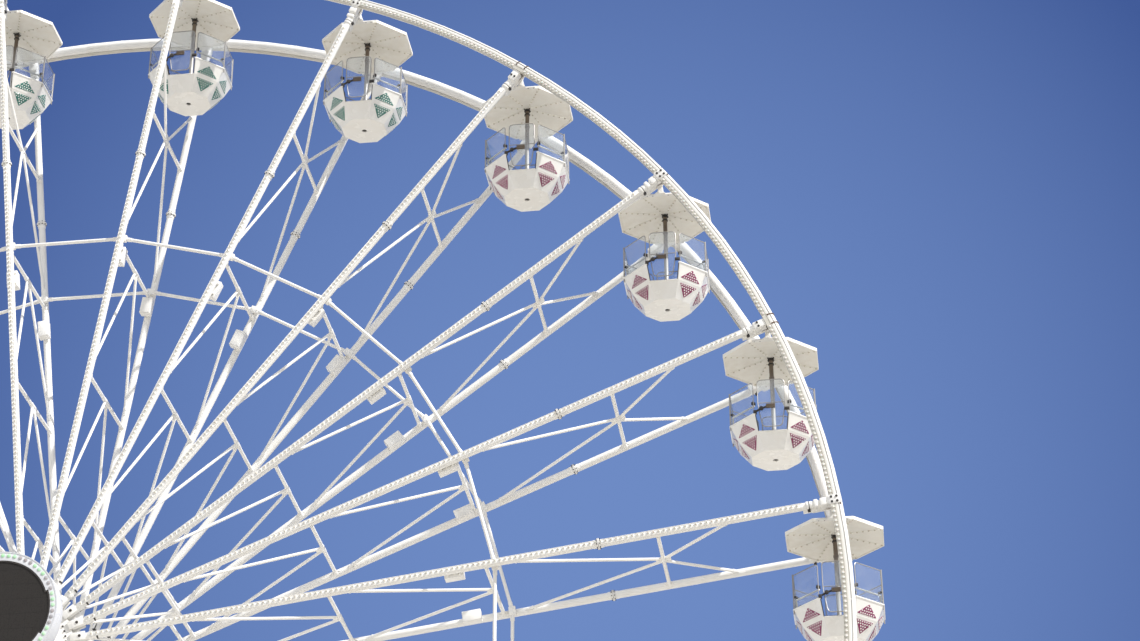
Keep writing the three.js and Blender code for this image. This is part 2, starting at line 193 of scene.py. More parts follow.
def bevelled(obj: Piece, width: float, segments: int = 2, angle: float = 30) -> Piece:
    """Round the edges that are sharper than an angle in degrees."""
    limit = {"limit_method": "ANGLE", "angle_limit": radians(angle)}
    return modified(obj, "BEVEL", width=width, segments=segments, **limit)


def cut(obj: Piece, *cutters: Piece) -> Piece:
    """Subtract bodies from an object.

    Args:
        obj: The object.
        *cutters: The bodies, which are removed.

    Returns:
        The same object.
    """
    for cutter in cutters:
        modified(obj, "BOOLEAN", operation="DIFFERENCE", solver="EXACT", object=cutter)
        bpy.data.objects.remove(cutter)
    return obj


def block(low: Point, high: Point, bevel: float = 0.0, segments: int = 2) -> Piece:
    """A box.

    Args:
        low: One of its corners.
        high: The corner across from it.
        bevel: Rounding of its edges.
        segments: Number of steps of the rounding.

    Returns:
        The box.
    """
    centre = [(a + b) / 2 for a, b in zip(low, high)]
    size = [abs(b - a) for a, b in zip(low, high)]
    bpy.ops.mesh.primitive_cube_add(size=1, location=centre, scale=size)
    obj = settled()
    return bevelled(obj, bevel, segments) if bevel else obj


def tube(start: Point, end: Point, radius: float, sides: int = 12, end_radius: float = None) -> Piece:
    """A round bar.

    Args:
        start: Middle of its first end.
        end: Middle of its other end.
        radius: Radius at the first end.
        sides: Number of its sides.
        end_radius: Radius at the other end, where it is tapered.

    Returns:
        The bar.
    """
    first, last = Vector(start), Vector(end)
    way = last - first
    bpy.ops.mesh.primitive_cone_add(
        vertices=sides, radius1=radius, radius2=radius if end_radius is None else end_radius,
        depth=way.length, location=(first + last) / 2, rotation=way.to_track_quat("Z", "Y").to_euler(),
    )
    return settled()


def disc(
    centre: Point, axis: Point, radius: float, depth: float, sides: int = 16, bevel: float = 0.0,
) -> Piece:
    """A short cylinder.

    Args:
        centre: Its middle.
        axis: Direction of its axis.
        radius: Its radius.
        depth: Its length along the axis.
        sides: Number of its sides.
        bevel: Rounding of its edges.

    Returns:
        The cylinder.
    """
    half = Vector(axis).normalized() * (depth / 2)
    obj = tube(Vector(centre) - half, Vector(centre) + half, radius, sides)
    return bevelled(obj, bevel, 2, 50) if bevel else obj


def rod(points: Sequence[Point], radius: float, closed: bool = False) -> Piece:
    """A thin bent bar with eight sides along a line of points.

    Args:
        points: The points of its centre line.
        radius: Radius of the bar.
        closed: Whether the last point joins the first.

    Returns:
        The bar as a mesh object.
    """
    curve = bpy.data.curves.new("rod", "CURVE")
    curve.dimensions = "3D"
    curve.bevel_depth = radius
    curve.bevel_resolution = 1
    curve.use_fill_caps = not closed
    spline = curve.splines.new("POLY")
    spline.points.add(len(points) - 1)
    for place, point in zip(spline.points, points):
        place.co = (*point, 1)
    spline.use_cyclic_u = closed
    obj = bpy.data.objects.new("rod", curve)
    bpy.context.scene.collection.objects.link(obj)
    only(obj)
    bpy.ops.object.convert(target="MESH")
    return bpy.context.view_layer.objects.active


def plate(outline: Sequence[Point], thickness: float, bevel: float = 0.0) -> Piece:
    """A flat plate from an outline in its own XY plane, from z = 0 up to its thickness.

    Args:
        outline: Corners of the outline, counter-clockwise.
        thickness: Thickness of the plate.
        bevel: Rounding of its edges.

    Returns:
        The plate.
    """
    bpy.ops.mesh.primitive_circle_add(vertices=len(outline), radius=1, fill_type="NGON")
    obj = settled()
    for vertex, corner in zip(obj.data.vertices, outline):
        vertex.co = (corner[0], corner[1], 0)
    with editing(obj):
        bpy.ops.mesh.select_all(action="SELECT")
        bpy.ops.mesh.extrude_region_move(TRANSFORM_OT_translate={"value": (0, 0, thickness)})
        face_outwards()
    return bevelled(obj, bevel, 1, 50) if bevel else obj


def grown(sides: int, profile: Sequence[Point], turn: float = 0.0) -> Piece:
    """A closed many-sided body grown upwards through the points of a profile.

    Args:
        sides: Number of its sides.
        profile: Pairs of radius and height, the first of which is its lowest face.
        turn: Angle about Z of its first corner.

    Returns:
        The body.
    """
    radius, height = profile[0]
    bpy.ops.mesh.primitive_circle_add(
        vertices=sides, radius=radius, fill_type="NGON", location=(0, 0, height), rotation=(0, 0, turn),
    )
    obj = settled()
    with editing(obj):
        bpy.ops.mesh.select_all(action="SELECT")
        for next_radius, next_height in profile[1:]:
            rise, ratio = next_height - height, next_radius / radius
            bpy.ops.mesh.extrude_region_move(TRANSFORM_OT_translate={"value": (0, 0, rise)})
            bpy.ops.transform.resize(value=(ratio, ratio, 1), center_override=(0, 0, next_height))
            radius, height = next_radius, next_height
        face_outwards()
    return obj


def swept(section: Sequence[Point], segments: int) -> Piece:
    """A ring swept once round the Y axis.

    Args:
        section: Corners of its section, as pairs of radius and Y.
        segments: Number of steps of the turn.

    Returns:
        The ring.
    """
    bpy.ops.mesh.primitive_circle_add(vertices=len(section), radius=1, fill_type="NOTHING")
    obj = settled()
    for vertex, (radius, y) in zip(obj.data.vertices, section):
        vertex.co = (radius, y, 0)
    with editing(obj, edge=True):
        bpy.ops.mesh.select_all(action="SELECT")
        bpy.ops.mesh.spin(
            steps=segments, angle=2 * pi, center=(0, 0, 0), axis=REAR, use_auto_merge=True,
        )
        bpy.ops.mesh.select_all(action="SELECT")
        bpy.ops.mesh.remove_doubles(threshold=0.0002)
        bpy.ops.mesh.normals_make_consistent(inside=False)
    return obj


def hoop(inner: float, outer: float, front: float, back: float, segments: int) -> Piece:
    """A ring of rectangular section round the Y axis, between two radii and two depths."""
    return swept([(inner, front), (outer, front), (outer, back), (inner, back)], segments)


def placed(obj: Piece, matrix: Matrix) -> Piece:
    """Move an object's mesh.

    Args:
        obj: The object.
        matrix: Where its mesh goes, mirrored where it says so.

    Returns:
        The same object.
    """
    obj.data.transform(matrix)
    if matrix.determinant() < 0:
        obj.data.flip_normals()
    return obj


def copied(model: Piece, name: str = "copy", matrix: Matrix = None) -> Piece:
    """A copy with a mesh of its own.

    Args:
        model: The object to copy.
        name: Name of the copy.
        matrix: Where its mesh goes.

    Returns:
        The copy.
    """
    twin = bpy.data.objects.new(name, model.data.copy())
    twin.data.name = name
    bpy.context.scene.collection.objects.link(twin)
    return placed(twin, matrix) if matrix else twin


def joined(parts: Sequence[Piece], name: str = "part", angle: float = 35) -> Piece:
    """Join objects into one piece and shade it smooth.

    Args:
        parts: The objects.
        name: Name of the piece.
        angle: Edges sharper than this many degrees stay sharp.

    Returns:
        The piece.
    """
    only(*parts)
    if len(parts) > 1:
        bpy.ops.object.join()
    obj = bpy.context.view_layer.objects.active
    obj.name = name
    obj.data.name = name
    only(obj)
    bpy.ops.object.shade_smooth_by_angle(angle=radians(angle))
    return obj


def discard(*models: Piece) -> None:
    """Remove models whose copies are in place."""
    for model in models:
        bpy.data.objects.remove(model)


def both_sides(parts: Sequence[Piece], axis: int = 1) -> list:
    """The parts and their mirror images across the plane through the origin square to an axis."""
    mirror = Matrix.Diagonal([-1 if i == axis else 1 for i in range(4)])
    return [*parts, *(copied(part, matrix=mirror) for part in parts)]


def turned(angle: float, axis: str = "Y") -> Matrix:
    """Rotation about an axis through the origin."""
    return Matrix.Rotation(angle, 4, axis)


def moved(x: float = 0.0, y: float = 0.0, z: float = 0.0) -> Matrix:
    """Translation."""
    return Matrix.Translation((x, y, z))


# Where what is modelled around the wheel's middle goes
AT_HUB = moved(z=HUB_HEIGHT)


def polar(radius: float, angle: float) -> tuple:
    """A point of a circle round the origin of a plane."""
    return radius * cos(angle), radius * sin(angle)


def facing(at: Point, way: Point) -> Matrix:
    """The matrix that takes the origin to a point and Z to one of the directions along an axis."""
    turn = turned(pi, "X") if way[2] < 0 else turned(-way[1] * QUARTER, "X") @ turned(way[0] * QUARTER)
    return moved(*at) @ turn


def basis(x_axis: Point, y_axis: Point, origin: Point) -> Matrix:
    """The matrix that takes X and Y to two directions.

    Args:
        x_axis: Where X goes.
        y_axis: Where Y goes, square to the first.
        origin: Where the origin goes.

    Returns:
        The matrix.
    """
    first, second = Vector(x_axis).normalized(), Vector(y_axis).normalized()
    matrix = Matrix((first, second, first.cross(second))).transposed().to_4x4()
    matrix.translation = Vector(origin)
    return matrix


def upright(y: float, x: float = 0.0, z: float = 0.0) -> Matrix:
    """The matrix that stands a plate up, from y towards the front, with its Y along Z."""
    return basis(RIGHT, UP, (x, y, z))


def along(start: Point, end: Point) -> Matrix:
    """The matrix that takes Z to a line and turns Y as near to the rear as it can be.

    Args:
        start: Where the origin goes.
        end: Another point of the line.

    Returns:
        The matrix.
    """
    axis = (Vector(end) - Vector(start)).normalized()
    across = Vector(REAR).cross(axis)
    return basis(across, axis.cross(across), start)


def rows(model: Piece, count: int, step: Point) -> Piece:
    """A straight row of copies joined in one mesh."""
    spacing = {"use_relative_offset": False, "use_constant_offset": True, "constant_offset_displace": step}
    return modified(model, "ARRAY", count=count, **spacing)


def around_axis(model: Piece, count: int, name: str = "around", angle: float = 40) -> Piece:
    """A piece repeated at equal steps round the Y axis, as one mesh."""
    copies = [copied(model, matrix=turned(-k * 2 * pi / count)) for k in range(1, count)]
    return joined([model, *copies], name, angle)


def stub(radii: Point, heights: Point, sides: int = 6, angle: float = 40) -> Piece:
    """A small turned body standing on the XY plane, such as a lamp cap, smooth up to an angle."""
    return joined([grown(sides, list(zip(radii, heights)))], "stub", angle)


def bolt(radius: float, height: float, at: Point, way: Point = UP) -> Piece:
    """A hexagonal bolt head with a chamfered top, standing on a face at a point."""
    head = stub((radius, radius, radius * 0.8), (0, height * 0.8, height), 6, 20)
    return placed(head, facing(at, way))


def bolt_circle(count: int, circle: float, y: float, side: int, radius: float = 0.022) -> Piece:
    """Bolt heads on a circle round the Y axis, pointing along Y to one side."""
    head = bolt(radius, radius * 0.8, (circle, y, 0), (0, side, 0))
    return around_axis(placed(head, turned(-pi / count)), count)


def symmetric(right: Sequence[tuple]) -> list:
    """An outline from its right half, given from the bottom up."""
    return [*right, *((-x, y) for x, y in reversed(right))]


def rounded(corners: Sequence[Point], radii: Sequence[float], steps: int = 5) -> list:
    """A closed outline with rounded corners.

    Args:
        corners: The corners in order.
        radii: How far each corner is cut back, 0 for a sharp one.
        steps: Number of segments of each rounding.

    Returns:
        The points of the outline.
    """
    points = []
    for i, (corner, radius) in enumerate(zip(corners, radii)):
        here = Vector(corner)
        before = (Vector(corners[i - 1]) - here).normalized() * radius
        after = (Vector(corners[(i + 1) % len(corners)]) - here).normalized() * radius
        shares = [k / steps for k in range(steps + 1)] if radius else [0]
        points += [here + before * (1 - t) ** 2 + after * t ** 2 for t in shares]
    return points


# Finishes


class Nodes:
    """A node tree with short calls for the nodes that the finishes and the sky share."""

    def __init__(self, tree: bpy.types.NodeTree) -> None:
        """Empty the tree."""
        self.tree = tree
        tree.nodes.clear()

    def feed(self, target: Socket, value: object) -> None:
        """Link another node's socket to an input, or set the input to a value."""
        if isinstance(value, bpy.types.NodeSocket):
            self.tree.links.new(value, target)
        else:
            target.default_value = value

    def node(self, kind: str, **inputs: object) -> bpy.types.Node:
        """Add a node.

        Args:
            kind: Blender's node type without its common start.
            **inputs: What feeds its inputs, with _ for the spaces in their names.

        Returns:
            The node.
        """
        made = self.tree.nodes.new(f"ShaderNode{kind}")
        for name, value in inputs.items():
            self.feed(made.inputs[name.replace("_", " ")], value)
        return made

    def split(self, vector: Socket, index: int) -> Socket:
        """One coordinate of a vector."""
        return self.node("SeparateXYZ", Vector=vector).outputs[index]

    def band(
        self, source: Socket, low: float, high: float, low_out: float = 0.0, high_out: float = 1.0,
    ) -> Socket:
        """Map a range of values to another, clamped at both ends."""
        limits = {"From_Min": low, "From_Max": high, "To_Min": low_out, "To_Max": high_out}
        return self.node("MapRange", Value=source, **limits).outputs[0]

    def mix(self, factor: Socket, first: object, second: object) -> Socket:
        """Mix two colours.

        Args:
            factor: Share of the second.
            first: A colour or a socket.
            second: A colour or a socket.

        Returns:
            The mixed colour.
        """
        made = self.node("Mix")
        made.data_type = "RGBA"
        self.feed(made.inputs[0], factor)
        for target, value in ((made.inputs[6], first), (made.inputs[7], second)):
            self.feed(target, (*value, 1) if isinstance(value, tuple) else value)
        return made.outputs[2]

    def maths(self, kind: str, first: Socket, second: object) -> Socket:
        """Join two numbers.

        Args:
            kind: Blender's name of the sum.
            first: The first number.
            second: The second number or its socket.

        Returns:
            The result.
        """
        made = self.node("Math")
        made.operation = kind
        self.feed(made.inputs[0], first)
        self.feed(made.inputs[1], second)
        return made.outputs[0]


class Shader(Nodes):
    """A material under construction."""

    def __init__(self, name: str) -> None:
        """Start a Principled shader and Object coordinates.

        Args:
            name: Name of the material.
        """
        self.material = bpy.data.materials.new(name)
        self.material.use_nodes = True
        super().__init__(self.material.node_tree)
        self.principled = self.node("BsdfPrincipled")
        self.node("OutputMaterial", Surface=self.principled.outputs[0])
        self.place = self.node("TexCoord").outputs["Object"]

    def surface(self, **inputs: object) -> None:
        """Feed the shader's own inputs, with _ for the spaces in their names."""
        for name, value in inputs.items():
            self.feed(self.principled.inputs[name.replace("_", " ")], value)

    def stretched(self, scale: Point) -> Socket:
        """Object coordinates scaled along each axis."""
        return self.node("Mapping", Vector=self.place, Scale=scale).outputs[0]

    def noise(self, scale: float, detail: float = 3.0, place: Socket = None) -> Socket:
        """Noise between 0 and 1."""
        return self.node("TexNoise", Scale=scale, Detail=detail, Vector=place or self.place).outputs[0]

    def uneven(self, scale: float, detail: float, low: float, high: float) -> Socket:
        """A value that wanders between two limits."""
        return self.band(self.noise(scale, detail), 0.3, 0.7, low, high)

    def cells(self, scale: float, place: Socket = None) -> Socket:
        """Distance to the nearest of scattered points."""
        return self.node("TexVoronoi", Scale=scale, Vector=place or self.place).outputs["Distance"]

    def bump(self, height: Socket, distance: float, strength: float = 1.0) -> None:
        """Give the surface a relief from a height."""
        relief = self.node("Bump", Strength=strength, Distance=distance, Height=height)
        self.surface(Normal=relief.outputs[0])


@dataclass(frozen=True)
class Coating:
    """Paint, gelcoat or bare metal with weathering, grime, roughness changes and a fine relief.

    Attributes:
        name: Name of the material.
        colour: Main colour, linear.
        grime: Colour of the thin dirt in large soft patches and runs.
        grime_share: How strong the dirt is at most.
        rust_reach: How far spots of rust reach, 0 for none.
        roughness: Lowest and highest roughness.
        metallic: Share of metal.
        coat: Strength of the clear coat.
        grain: Scale of the relief, per metre.
        depth: Depth of the relief in metres.
    """

    name: str
    colour: tuple
    grime: tuple = (0.50, 0.45, 0.37)
    grime_share: float = 0.25
    rust_reach: float = 0.0
    roughness: tuple = (0.32, 0.5)
    metallic: float = 0.0
    coat: float = 0.0
    grain: float = 90.0
    depth: float = 0.0006

    def material(self) -> bpy.types.Material:
        """Build the node material.

        Returns:
            The material.
        """
        shader = Shader(self.name)
        patches = shader.noise(0.7, 5)
        runs = shader.noise(5.0, 4, shader.stretched((1, 1, 0.16)))
        dirt = shader.band(shader.maths("MULTIPLY", patches, runs), 0.18, 0.4, 0, self.grime_share)
        colour = shader.mix(dirt, self.colour, self.grime)
        if self.rust_reach:
            spots = shader.band(shader.cells(2.6), self.rust_reach, self.rust_reach * 0.5)
            ragged = shader.maths("MULTIPLY", spots, shader.band(shader.noise(70, 3), 0.42, 0.56))
            colour = shader.mix(ragged, colour, (0.22, 0.09, 0.03))
        shader.surface(
            Base_Color=colour, Roughness=shader.uneven(3.5, 5, *self.roughness), Metallic=self.metallic,
            Coat_Weight=self.coat, Coat_Roughness=0.12,
        )
        shader.bump(shader.noise(self.grain, 4), self.depth)
        return shader.material


@dataclass(frozen=True)
class ClearPane:
    """Clear acrylic with dried rain marks and scuffs that catch the light."""

    name: str = "clear acrylic"

    def material(self) -> bpy.types.Material:
        """Build the node material.

        Returns:
            The material.
        """
        shader = Shader(self.name)
        haze = shader.noise(5, 6, shader.stretched((1, 1, 0.4)))
        spots = shader.band(shader.noise(60, 5), 0.50, 0.72)
        marks = shader.maths("MULTIPLY", shader.band(haze, 0.42, 0.62), spots)
        shader.surface(
            Base_Color=shader.mix(haze, (0.93, 0.96, 0.98), (0.84, 0.89, 0.95)),
            Roughness=shader.band(haze, 0.4, 0.75, 0.01, 0.1),
            Transmission_Weight=shader.band(marks, 0, 1, 0.94, 0.72), IOR=1.3, Specular_IOR_Level=0.6,
        )
        shader.bump(shader.noise(2.2, 2), 0.003, 0.5)
        return shader.material


@dataclass(frozen=True)
class LampPlastic:
    """Tinted plastic of the lamp lenses, between two colours."""

    name: str
    colour: tuple
    other: tuple

    def material(self) -> bpy.types.Material:
        """Build the node material.

        Returns:
            The material.
        """
        shader = Shader(self.name)
        tint = shader.mix(shader.band(shader.noise(7, 2), 0.35, 0.65), self.colour, self.other)
        shader.surface(
            Base_Color=tint, Roughness=shader.uneven(40, 3, 0.14, 0.3), Subsurface_Weight=0.1,
            Subsurface_Scale=0.02, Coat_Weight=0.25,
        )
        shader.bump(shader.noise(260, 2), 0.0006)
        return shader.material


@dataclass(frozen=True)
class PostPaint:
    """Brown paint at the top of the gondola posts, made darker there as painted shade under the roof, that
    fades to lighter grey steel lower down as painted sunlight.
    """

    name: str = "post paint"
    painted_shade_top: float = -0.5
    painted_sunlight_foot: float = -1.7

    def material(self) -> bpy.types.Material:
        """Build the node material, whose painted shade and sunlight follow the height that each piece keeps
        as an attribute.

        Returns:
            The material.
        """
        shader = Shader(self.name)
        streaks = shader.noise(9, 5, shader.stretched((1, 1, 0.12)))
        # Painted shade: dark brown for the top of the post under the roof, over its own brown paint
        upper = shader.mix(streaks, (0.10, 0.075, 0.055), (0.24, 0.19, 0.14))
        # Painted sunlight: light grey for the lower post, whose side takes the sun
        lower = shader.mix(streaks, (0.42, 0.41, 0.39), (0.66, 0.65, 0.62))
        own = shader.node("Attribute")
        own.attribute_name = "local"
        # Fades by height from the painted shade at the top to the painted sunlight lower down
        shade_to_sunlight = shader.band(shader.split(own.outputs["Vector"], 2), self.painted_shade_top, self.painted_sunlight_foot)
        shader.surface(
            Base_Color=shader.mix(shade_to_sunlight, upper, lower), Roughness=shader.uneven(25, 4, 0.3, 0.52),
            Metallic=0.35,
        )
        shader.bump(shader.noise(120, 4), 0.0006)
        return shader.material


@dataclass(frozen=True)
class ScreenFace:
    """Dark face of the hub display, made of square modules with fine rows."""

    name: str = "dark screen"
    module: float = 0.32

    def groove(self, shader: Shader, index: int) -> Socket:
        """A narrow joint at every module's edge along one axis: 0 in it and 1 beside it."""
        wave = shader.maths("PINGPONG", shader.split(shader.place, index), self.module / 2)
        return shader.band(wave, 0.0, 0.004)

    def material(self) -> bpy.types.Material:
        """Build the node material.

        Returns:
            The material.
        """
        shader = Shader(self.name)
        joints = shader.maths("MULTIPLY", self.groove(shader, 0), self.groove(shader, 2))
        tone = shader.mix(shader.noise(1.4, 4), (0.015, 0.0135, 0.0125), (0.021, 0.0185, 0.017))
        rows_tone = shader.mix(shader.band(shader.cells(30), 0.2, 0.5), tone, (0.026, 0.023, 0.021))
        shader.surface(
            Base_Color=shader.mix(joints, (0.007, 0.0065, 0.006), rows_tone),
            Roughness=shader.uneven(4, 4, 0.5, 0.7), Specular_IOR_Level=0.25,
        )
        shader.bump(joints, 0.004, 0.6)
        return shader.material


@dataclass(frozen=True)
class DeckPlate:
    """Galvanised walking plate with a raised tread and worn tracks."""

    name: str = "deck steel"

    def material(self) -> bpy.types.Material:
        """Build the node material.

        Returns:
            The material.
        """
        shader = Shader(self.name)
        tread = shader.band(shader.cells(24, shader.stretched((1, 1, 0.4))), 0.16, 0.3, 1, 0)
        wear = shader.noise(1.1, 5)
        base = shader.mix(wear, (0.40, 0.41, 0.415), (0.25, 0.255, 0.26))
        shader.surface(
            Base_Color=shader.mix(tread, base, (0.54, 0.55, 0.55)),
            Roughness=shader.band(wear, 0.3, 0.7, 0.36, 0.62), Metallic=0.5,
        )
        shader.bump(tread, 0.003, 0.7)
        return shader.material


FINISHES = {
    Slot.WHITE_PAINT: Coating(
        "white paint", (0.86, 0.85, 0.82), (0.66, 0.60, 0.50), 0.2, roughness=(0.3, 0.48), coat=0.12,
    ),
    Slot.WHITE_SHELL: Coating(
        "white gelcoat", (0.84, 0.83, 0.80), (0.68, 0.63, 0.54), 0.2, roughness=(0.18, 0.32), coat=0.35,
        grain=16, depth=0.0012,
    ),
    Slot.PARASOL: Coating(
        "parasol white", (0.88, 0.855, 0.79), (0.66, 0.59, 0.47), 0.3, roughness=(0.36, 0.54), grain=40,
        depth=0.0008,
    ),
    Slot.PURPLE: Coating(
        "purple pattern", (0.230, 0.004, 0.085), (0.10, 0.004, 0.05), 0.3, roughness=(0.25, 0.4), coat=0.3,
    ),
    Slot.TEAL: Coating(
        "teal pattern", (0.004, 0.160, 0.130), (0.006, 0.09, 0.075), 0.3, roughness=(0.25, 0.4), coat=0.3,
    ),
    Slot.GREY_METAL: Coating(
        "grey metal", (0.36, 0.35, 0.335), (0.20, 0.175, 0.15), 0.5, roughness=(0.3, 0.5), metallic=0.3,
        grain=150,
    ),
    Slot.BLACK_FITTING: Coating(
        "black fittings", (0.022, 0.02, 0.019), (0.07, 0.055, 0.045), 0.6, roughness=(0.4, 0.62), grain=200,
    ),
    Slot.BARE_STEEL: Coating(
        "bare steel", (0.46, 0.46, 0.46), (0.24, 0.16, 0.10), 0.5, 0.2, (0.28, 0.5), 0.75, grain=140,
    ),
    Slot.BASE_PAINT: Coating(
        "base paint", (0.36, 0.38, 0.395), (0.20, 0.16, 0.12), 0.6, 0.24, (0.4, 0.6), 0.1,
    ),
    Slot.ACRYLIC: ClearPane(),
    Slot.LAMP_CAPS: LampPlastic("lamp lenses", (0.60, 0.56, 0.46), (0.48, 0.45, 0.38)),
    Slot.BROWN_METAL: PostPaint(),
    Slot.DARK_SCREEN: ScreenFace(),
    Slot.DECK_STEEL: DeckPlate(),
}
MINT_LENSES = LampPlastic("mint lenses", (0.44, 0.78, 0.46), (0.58, 0.82, 0.60))
GREY_LENSES = LampPlastic("grey lenses", (0.46, 0.44, 0.45), (0.38, 0.36, 0.37))
ROOF_LENSES = LampPlastic("roof lenses", (0.68, 0.63, 0.52), (0.58, 0.54, 0.44))
RIM_LENSES = LampPlastic("rim lenses", (0.88, 0.87, 0.84), (0.80, 0.79, 0.76))
LAMP_STRIP = Coating("lamp strip", (0.60, 0.58, 0.52), (0.45, 0.41, 0.34), 0.3)
DISPLAY_RING = Coating("display ring", (0.66, 0.67, 0.70), (0.52, 0.52, 0.52), 0.2, roughness=(0.25, 0.4))
RUSTED = Coating(
    "rusted joints", (0.15, 0.082, 0.045), (0.05, 0.035, 0.025), 0.7, roughness=(0.6, 0.85), grain=110,
    depth=0.0015,
)
OWN_FINISHES = (MINT_LENSES, GREY_LENSES, ROOF_LENSES, RIM_LENSES, LAMP_STRIP, DISPLAY_RING, RUSTED)


class Workshop:
    """Dresses finished pieces and hands them to the frame."""

    def __init__(self) -> None:
        """Build each finish once."""
        self.materials = {finish: finish.material() for finish in (*FINISHES.values(), *OWN_FINISHES)}
        self.pieces = 0
        self.triangles = 0

    def hand_over(self, obj: Piece, slot: Slot, body: str, *nodes: str, finish: object = None) -> None:
        """Finish a piece.

        Args:
            obj: The piece, in its final place.
            slot: The slot of its finish.
            body: The body that it rides on.
            *nodes: The nodes of the CAD model that it stands for.
            finish: A finish of its own in place of the slot's usual one.
        """
        obj.data.materials.clear()
        obj.data.materials.append(self.materials[finish or FINISHES[slot]])
        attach(obj, body)
        if nodes:
            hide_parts(*nodes)
        count = sum(len(face.vertices) - 2 for face in obj.data.polygons)
        self.pieces += 1
        self.triangles += count
        LOG.info("%s: %d triangles on %s", obj.name, count, body)


# Gondola

CLOSED_PANELS = (0, 1, 3, 4, 5, 7)
DOOR_SIDES = {1: 1, 3: -1, 5: 1, 7: -1}


class PatternColour(Enum):
    """Colours of the triangle patterns, in turn for each four gondolas."""

    PURPLE = Slot.PURPLE
    TEAL = Slot.TEAL

    @classmethod
    def of(cls, number: int) -> "PatternColour":
        """The colour of a gondola by its number from 0."""
        return cls.PURPLE if (number // 4) % 2 == 0 else cls.TEAL


def on_both_doors(parts: Sequence[Piece]) -> list:
    """The parts of the front door and their copies, turned half round for the rear one."""
    return [*parts, *(copied(part, matrix=turned(pi, "Z")) for part in parts)]


@dataclass
class Gondola:
    """One open gondola, modelled with its pivot at the origin.

    Profile points are pairs of apothem and height. Panels are numbered counter-clockwise from 0, which
    faces +X, and the doors are in panels 2 and 6.
    """

    bottom: tuple = (0.500, -2.590)
    knuckle: tuple = (0.760, -2.250)
    rim: tuple = (0.918, -1.920)
    wall: float = 0.040
    floor_z: float = -2.480
    screen_top: tuple = (0.905, -1.160)
    door_y: float = 0.868
    door_top_z: float = -1.110
    door_half_top: float = 0.352
    door_half_bottom: float = 0.298
    sill_z: float = -2.262
    post_radius: float = 0.047
    bench_z: float = -2.090
    parasol_apothem: float = 1.011
    parasol_rim_z: float = -0.267
    parasol_fascia: float = 0.078
    parasol_lip: float = 0.030
    parasol_fold: float = 0.018
    under_apex_z: float = -0.124
    top_apex_z: float = -0.084
    frame_radius: float = 0.011
    pattern_pitch: float = 0.0590
    pattern_depth: float = 0.006

    def octagon(self, *profile: tuple) -> Piece:
        """A closed octagonal body grown upwards through the points of a profile."""
        scale = 1 / cos(OCTAGON_TURN)
        return grown(8, [(apothem * scale, height) for apothem, height in profile], OCTAGON_TURN)

    def tub(self) -> Piece:
        """The moulded tub with its rolled rim, its two door openings and a drain.

        Returns:
            The tub.
        """
        low, high = self.rim[1] - 0.016, self.rim[1] + 0.014
        outer, inner = self.rim[0] + 0.012, self.rim[0] - self.wall
        shell = self.octagon(
            self.bottom, self.knuckle, (self.rim[0] - 0.006, low), (outer, low), (outer, high), (inner, high),
            (self.knuckle[0] - self.wall, self.knuckle[1]), (self.bottom[0] + 0.04, self.floor_z),
        )
        bevelled(shell, 0.009, 2, 12)
        door = symmetric([(self.door_half_bottom, self.sill_z), (self.door_half_top, self.rim[1] + 0.06)])
        for rear_y in (-0.55, 1.15):
            cut(shell, placed(plate(door, 0.6), upright(rear_y)))
        floor = self.bottom[1]
        cut(shell, tube((0, 0, floor - 0.05), (0, 0, floor + 0.05), 0.058, 20))
        half, sill_y = self.door_half_bottom, self.knuckle[0] - 0.012
        low, high = (-half, sill_y - 0.03, self.sill_z - 0.012), (half, sill_y + 0.03, self.sill_z + 0.004)
        sill = block(low, high, 0.003)
        return joined([shell, *both_sides([sill])], "tub", 8)

    def bench(self) -> Piece:
        """The two moulded seats on either side of the aisle.

        Returns:
            The seats as one piece.
        """
        back_z = self.bench_z + 0.10
        body = self.octagon(
            (self.bottom[0] + 0.03, self.floor_z - 0.01), (self.knuckle[0] - 0.05, self.knuckle[1]),
            (0.775, self.bench_z - 0.02), (0.80, back_z), (0.74, back_z), (0.70, self.bench_z),
        )
        cut(body, block((-0.33, -1.1, self.floor_z + 0.004), (0.33, 1.1, 0)))
        return joined([bevelled(body, 0.018, 3, 25)], "bench")

    def parasol(self) -> Piece:
        """The eight-sided roof with a folded lip, hip seams and a raised centre.

        Returns:
            The roof.
        """
        low, top = self.parasol_rim_z, self.parasol_rim_z + self.parasol_fascia
        roof = self.octagon((self.parasol_apothem, low), (self.parasol_apothem, top))
        pick(roof, faces=lambda f: abs(f.normal.z) > 0.9 and f.center.z > top - 0.01)
        with editing(roof):
            bpy.ops.mesh.poke()
        lifted(roof, lambda p: p.xy.length < 0.01, self.top_apex_z - top)
        pick(roof, faces=lambda f: len(f.vertices) == 8)
        with editing(roof):
            bpy.ops.mesh.inset(thickness=self.parasol_lip, depth=0)
            bpy.ops.mesh.extrude_region_move(TRANSFORM_OT_translate={"value": (0, 0, self.parasol_fold)})
            bpy.ops.mesh.poke()
        rise = self.under_apex_z - low - self.parasol_fold
        lifted(roof, lambda p: p.xy.length < 0.01 and p.z < low + 0.03, rise)
        bevelled(roof, 0.005, 2, 40)
        start, end = self.hip()
        seam = block((0, -0.017, -0.004), ((end - start).length, 0.017, 0.006), 0.002)
        boss = disc((0, 0, self.under_apex_z - 0.012), UP, 0.12, 0.028, 16, 0.006)
        return joined([roof, boss, *self.under_hips(seam)], "parasol", 12)

    def hip(self) -> tuple:
        """The inner and the outer end of a hip under the roof."""
        reach = (self.parasol_apothem - 0.04) / cos(OCTAGON_TURN)
        return Vector((0.12, 0, self.under_apex_z - 0.02)), Vector((reach, 0, self.parasol_rim_z + 0.018))

    def under_hips(self, model: Piece) -> list:
        """A part repeated under each hip of the roof.

        Args:
            model: The part, with X along the hip. It is removed.

        Returns:
            Its copies.
        """
        start, end = self.hip()
        place = basis(end - start, REAR, start)
        copies = [copied(model, matrix=turned(OCTAGON_TURN + k * EIGHTH, "Z") @ place) for k in range(8)]
        discard(model)
        return copies

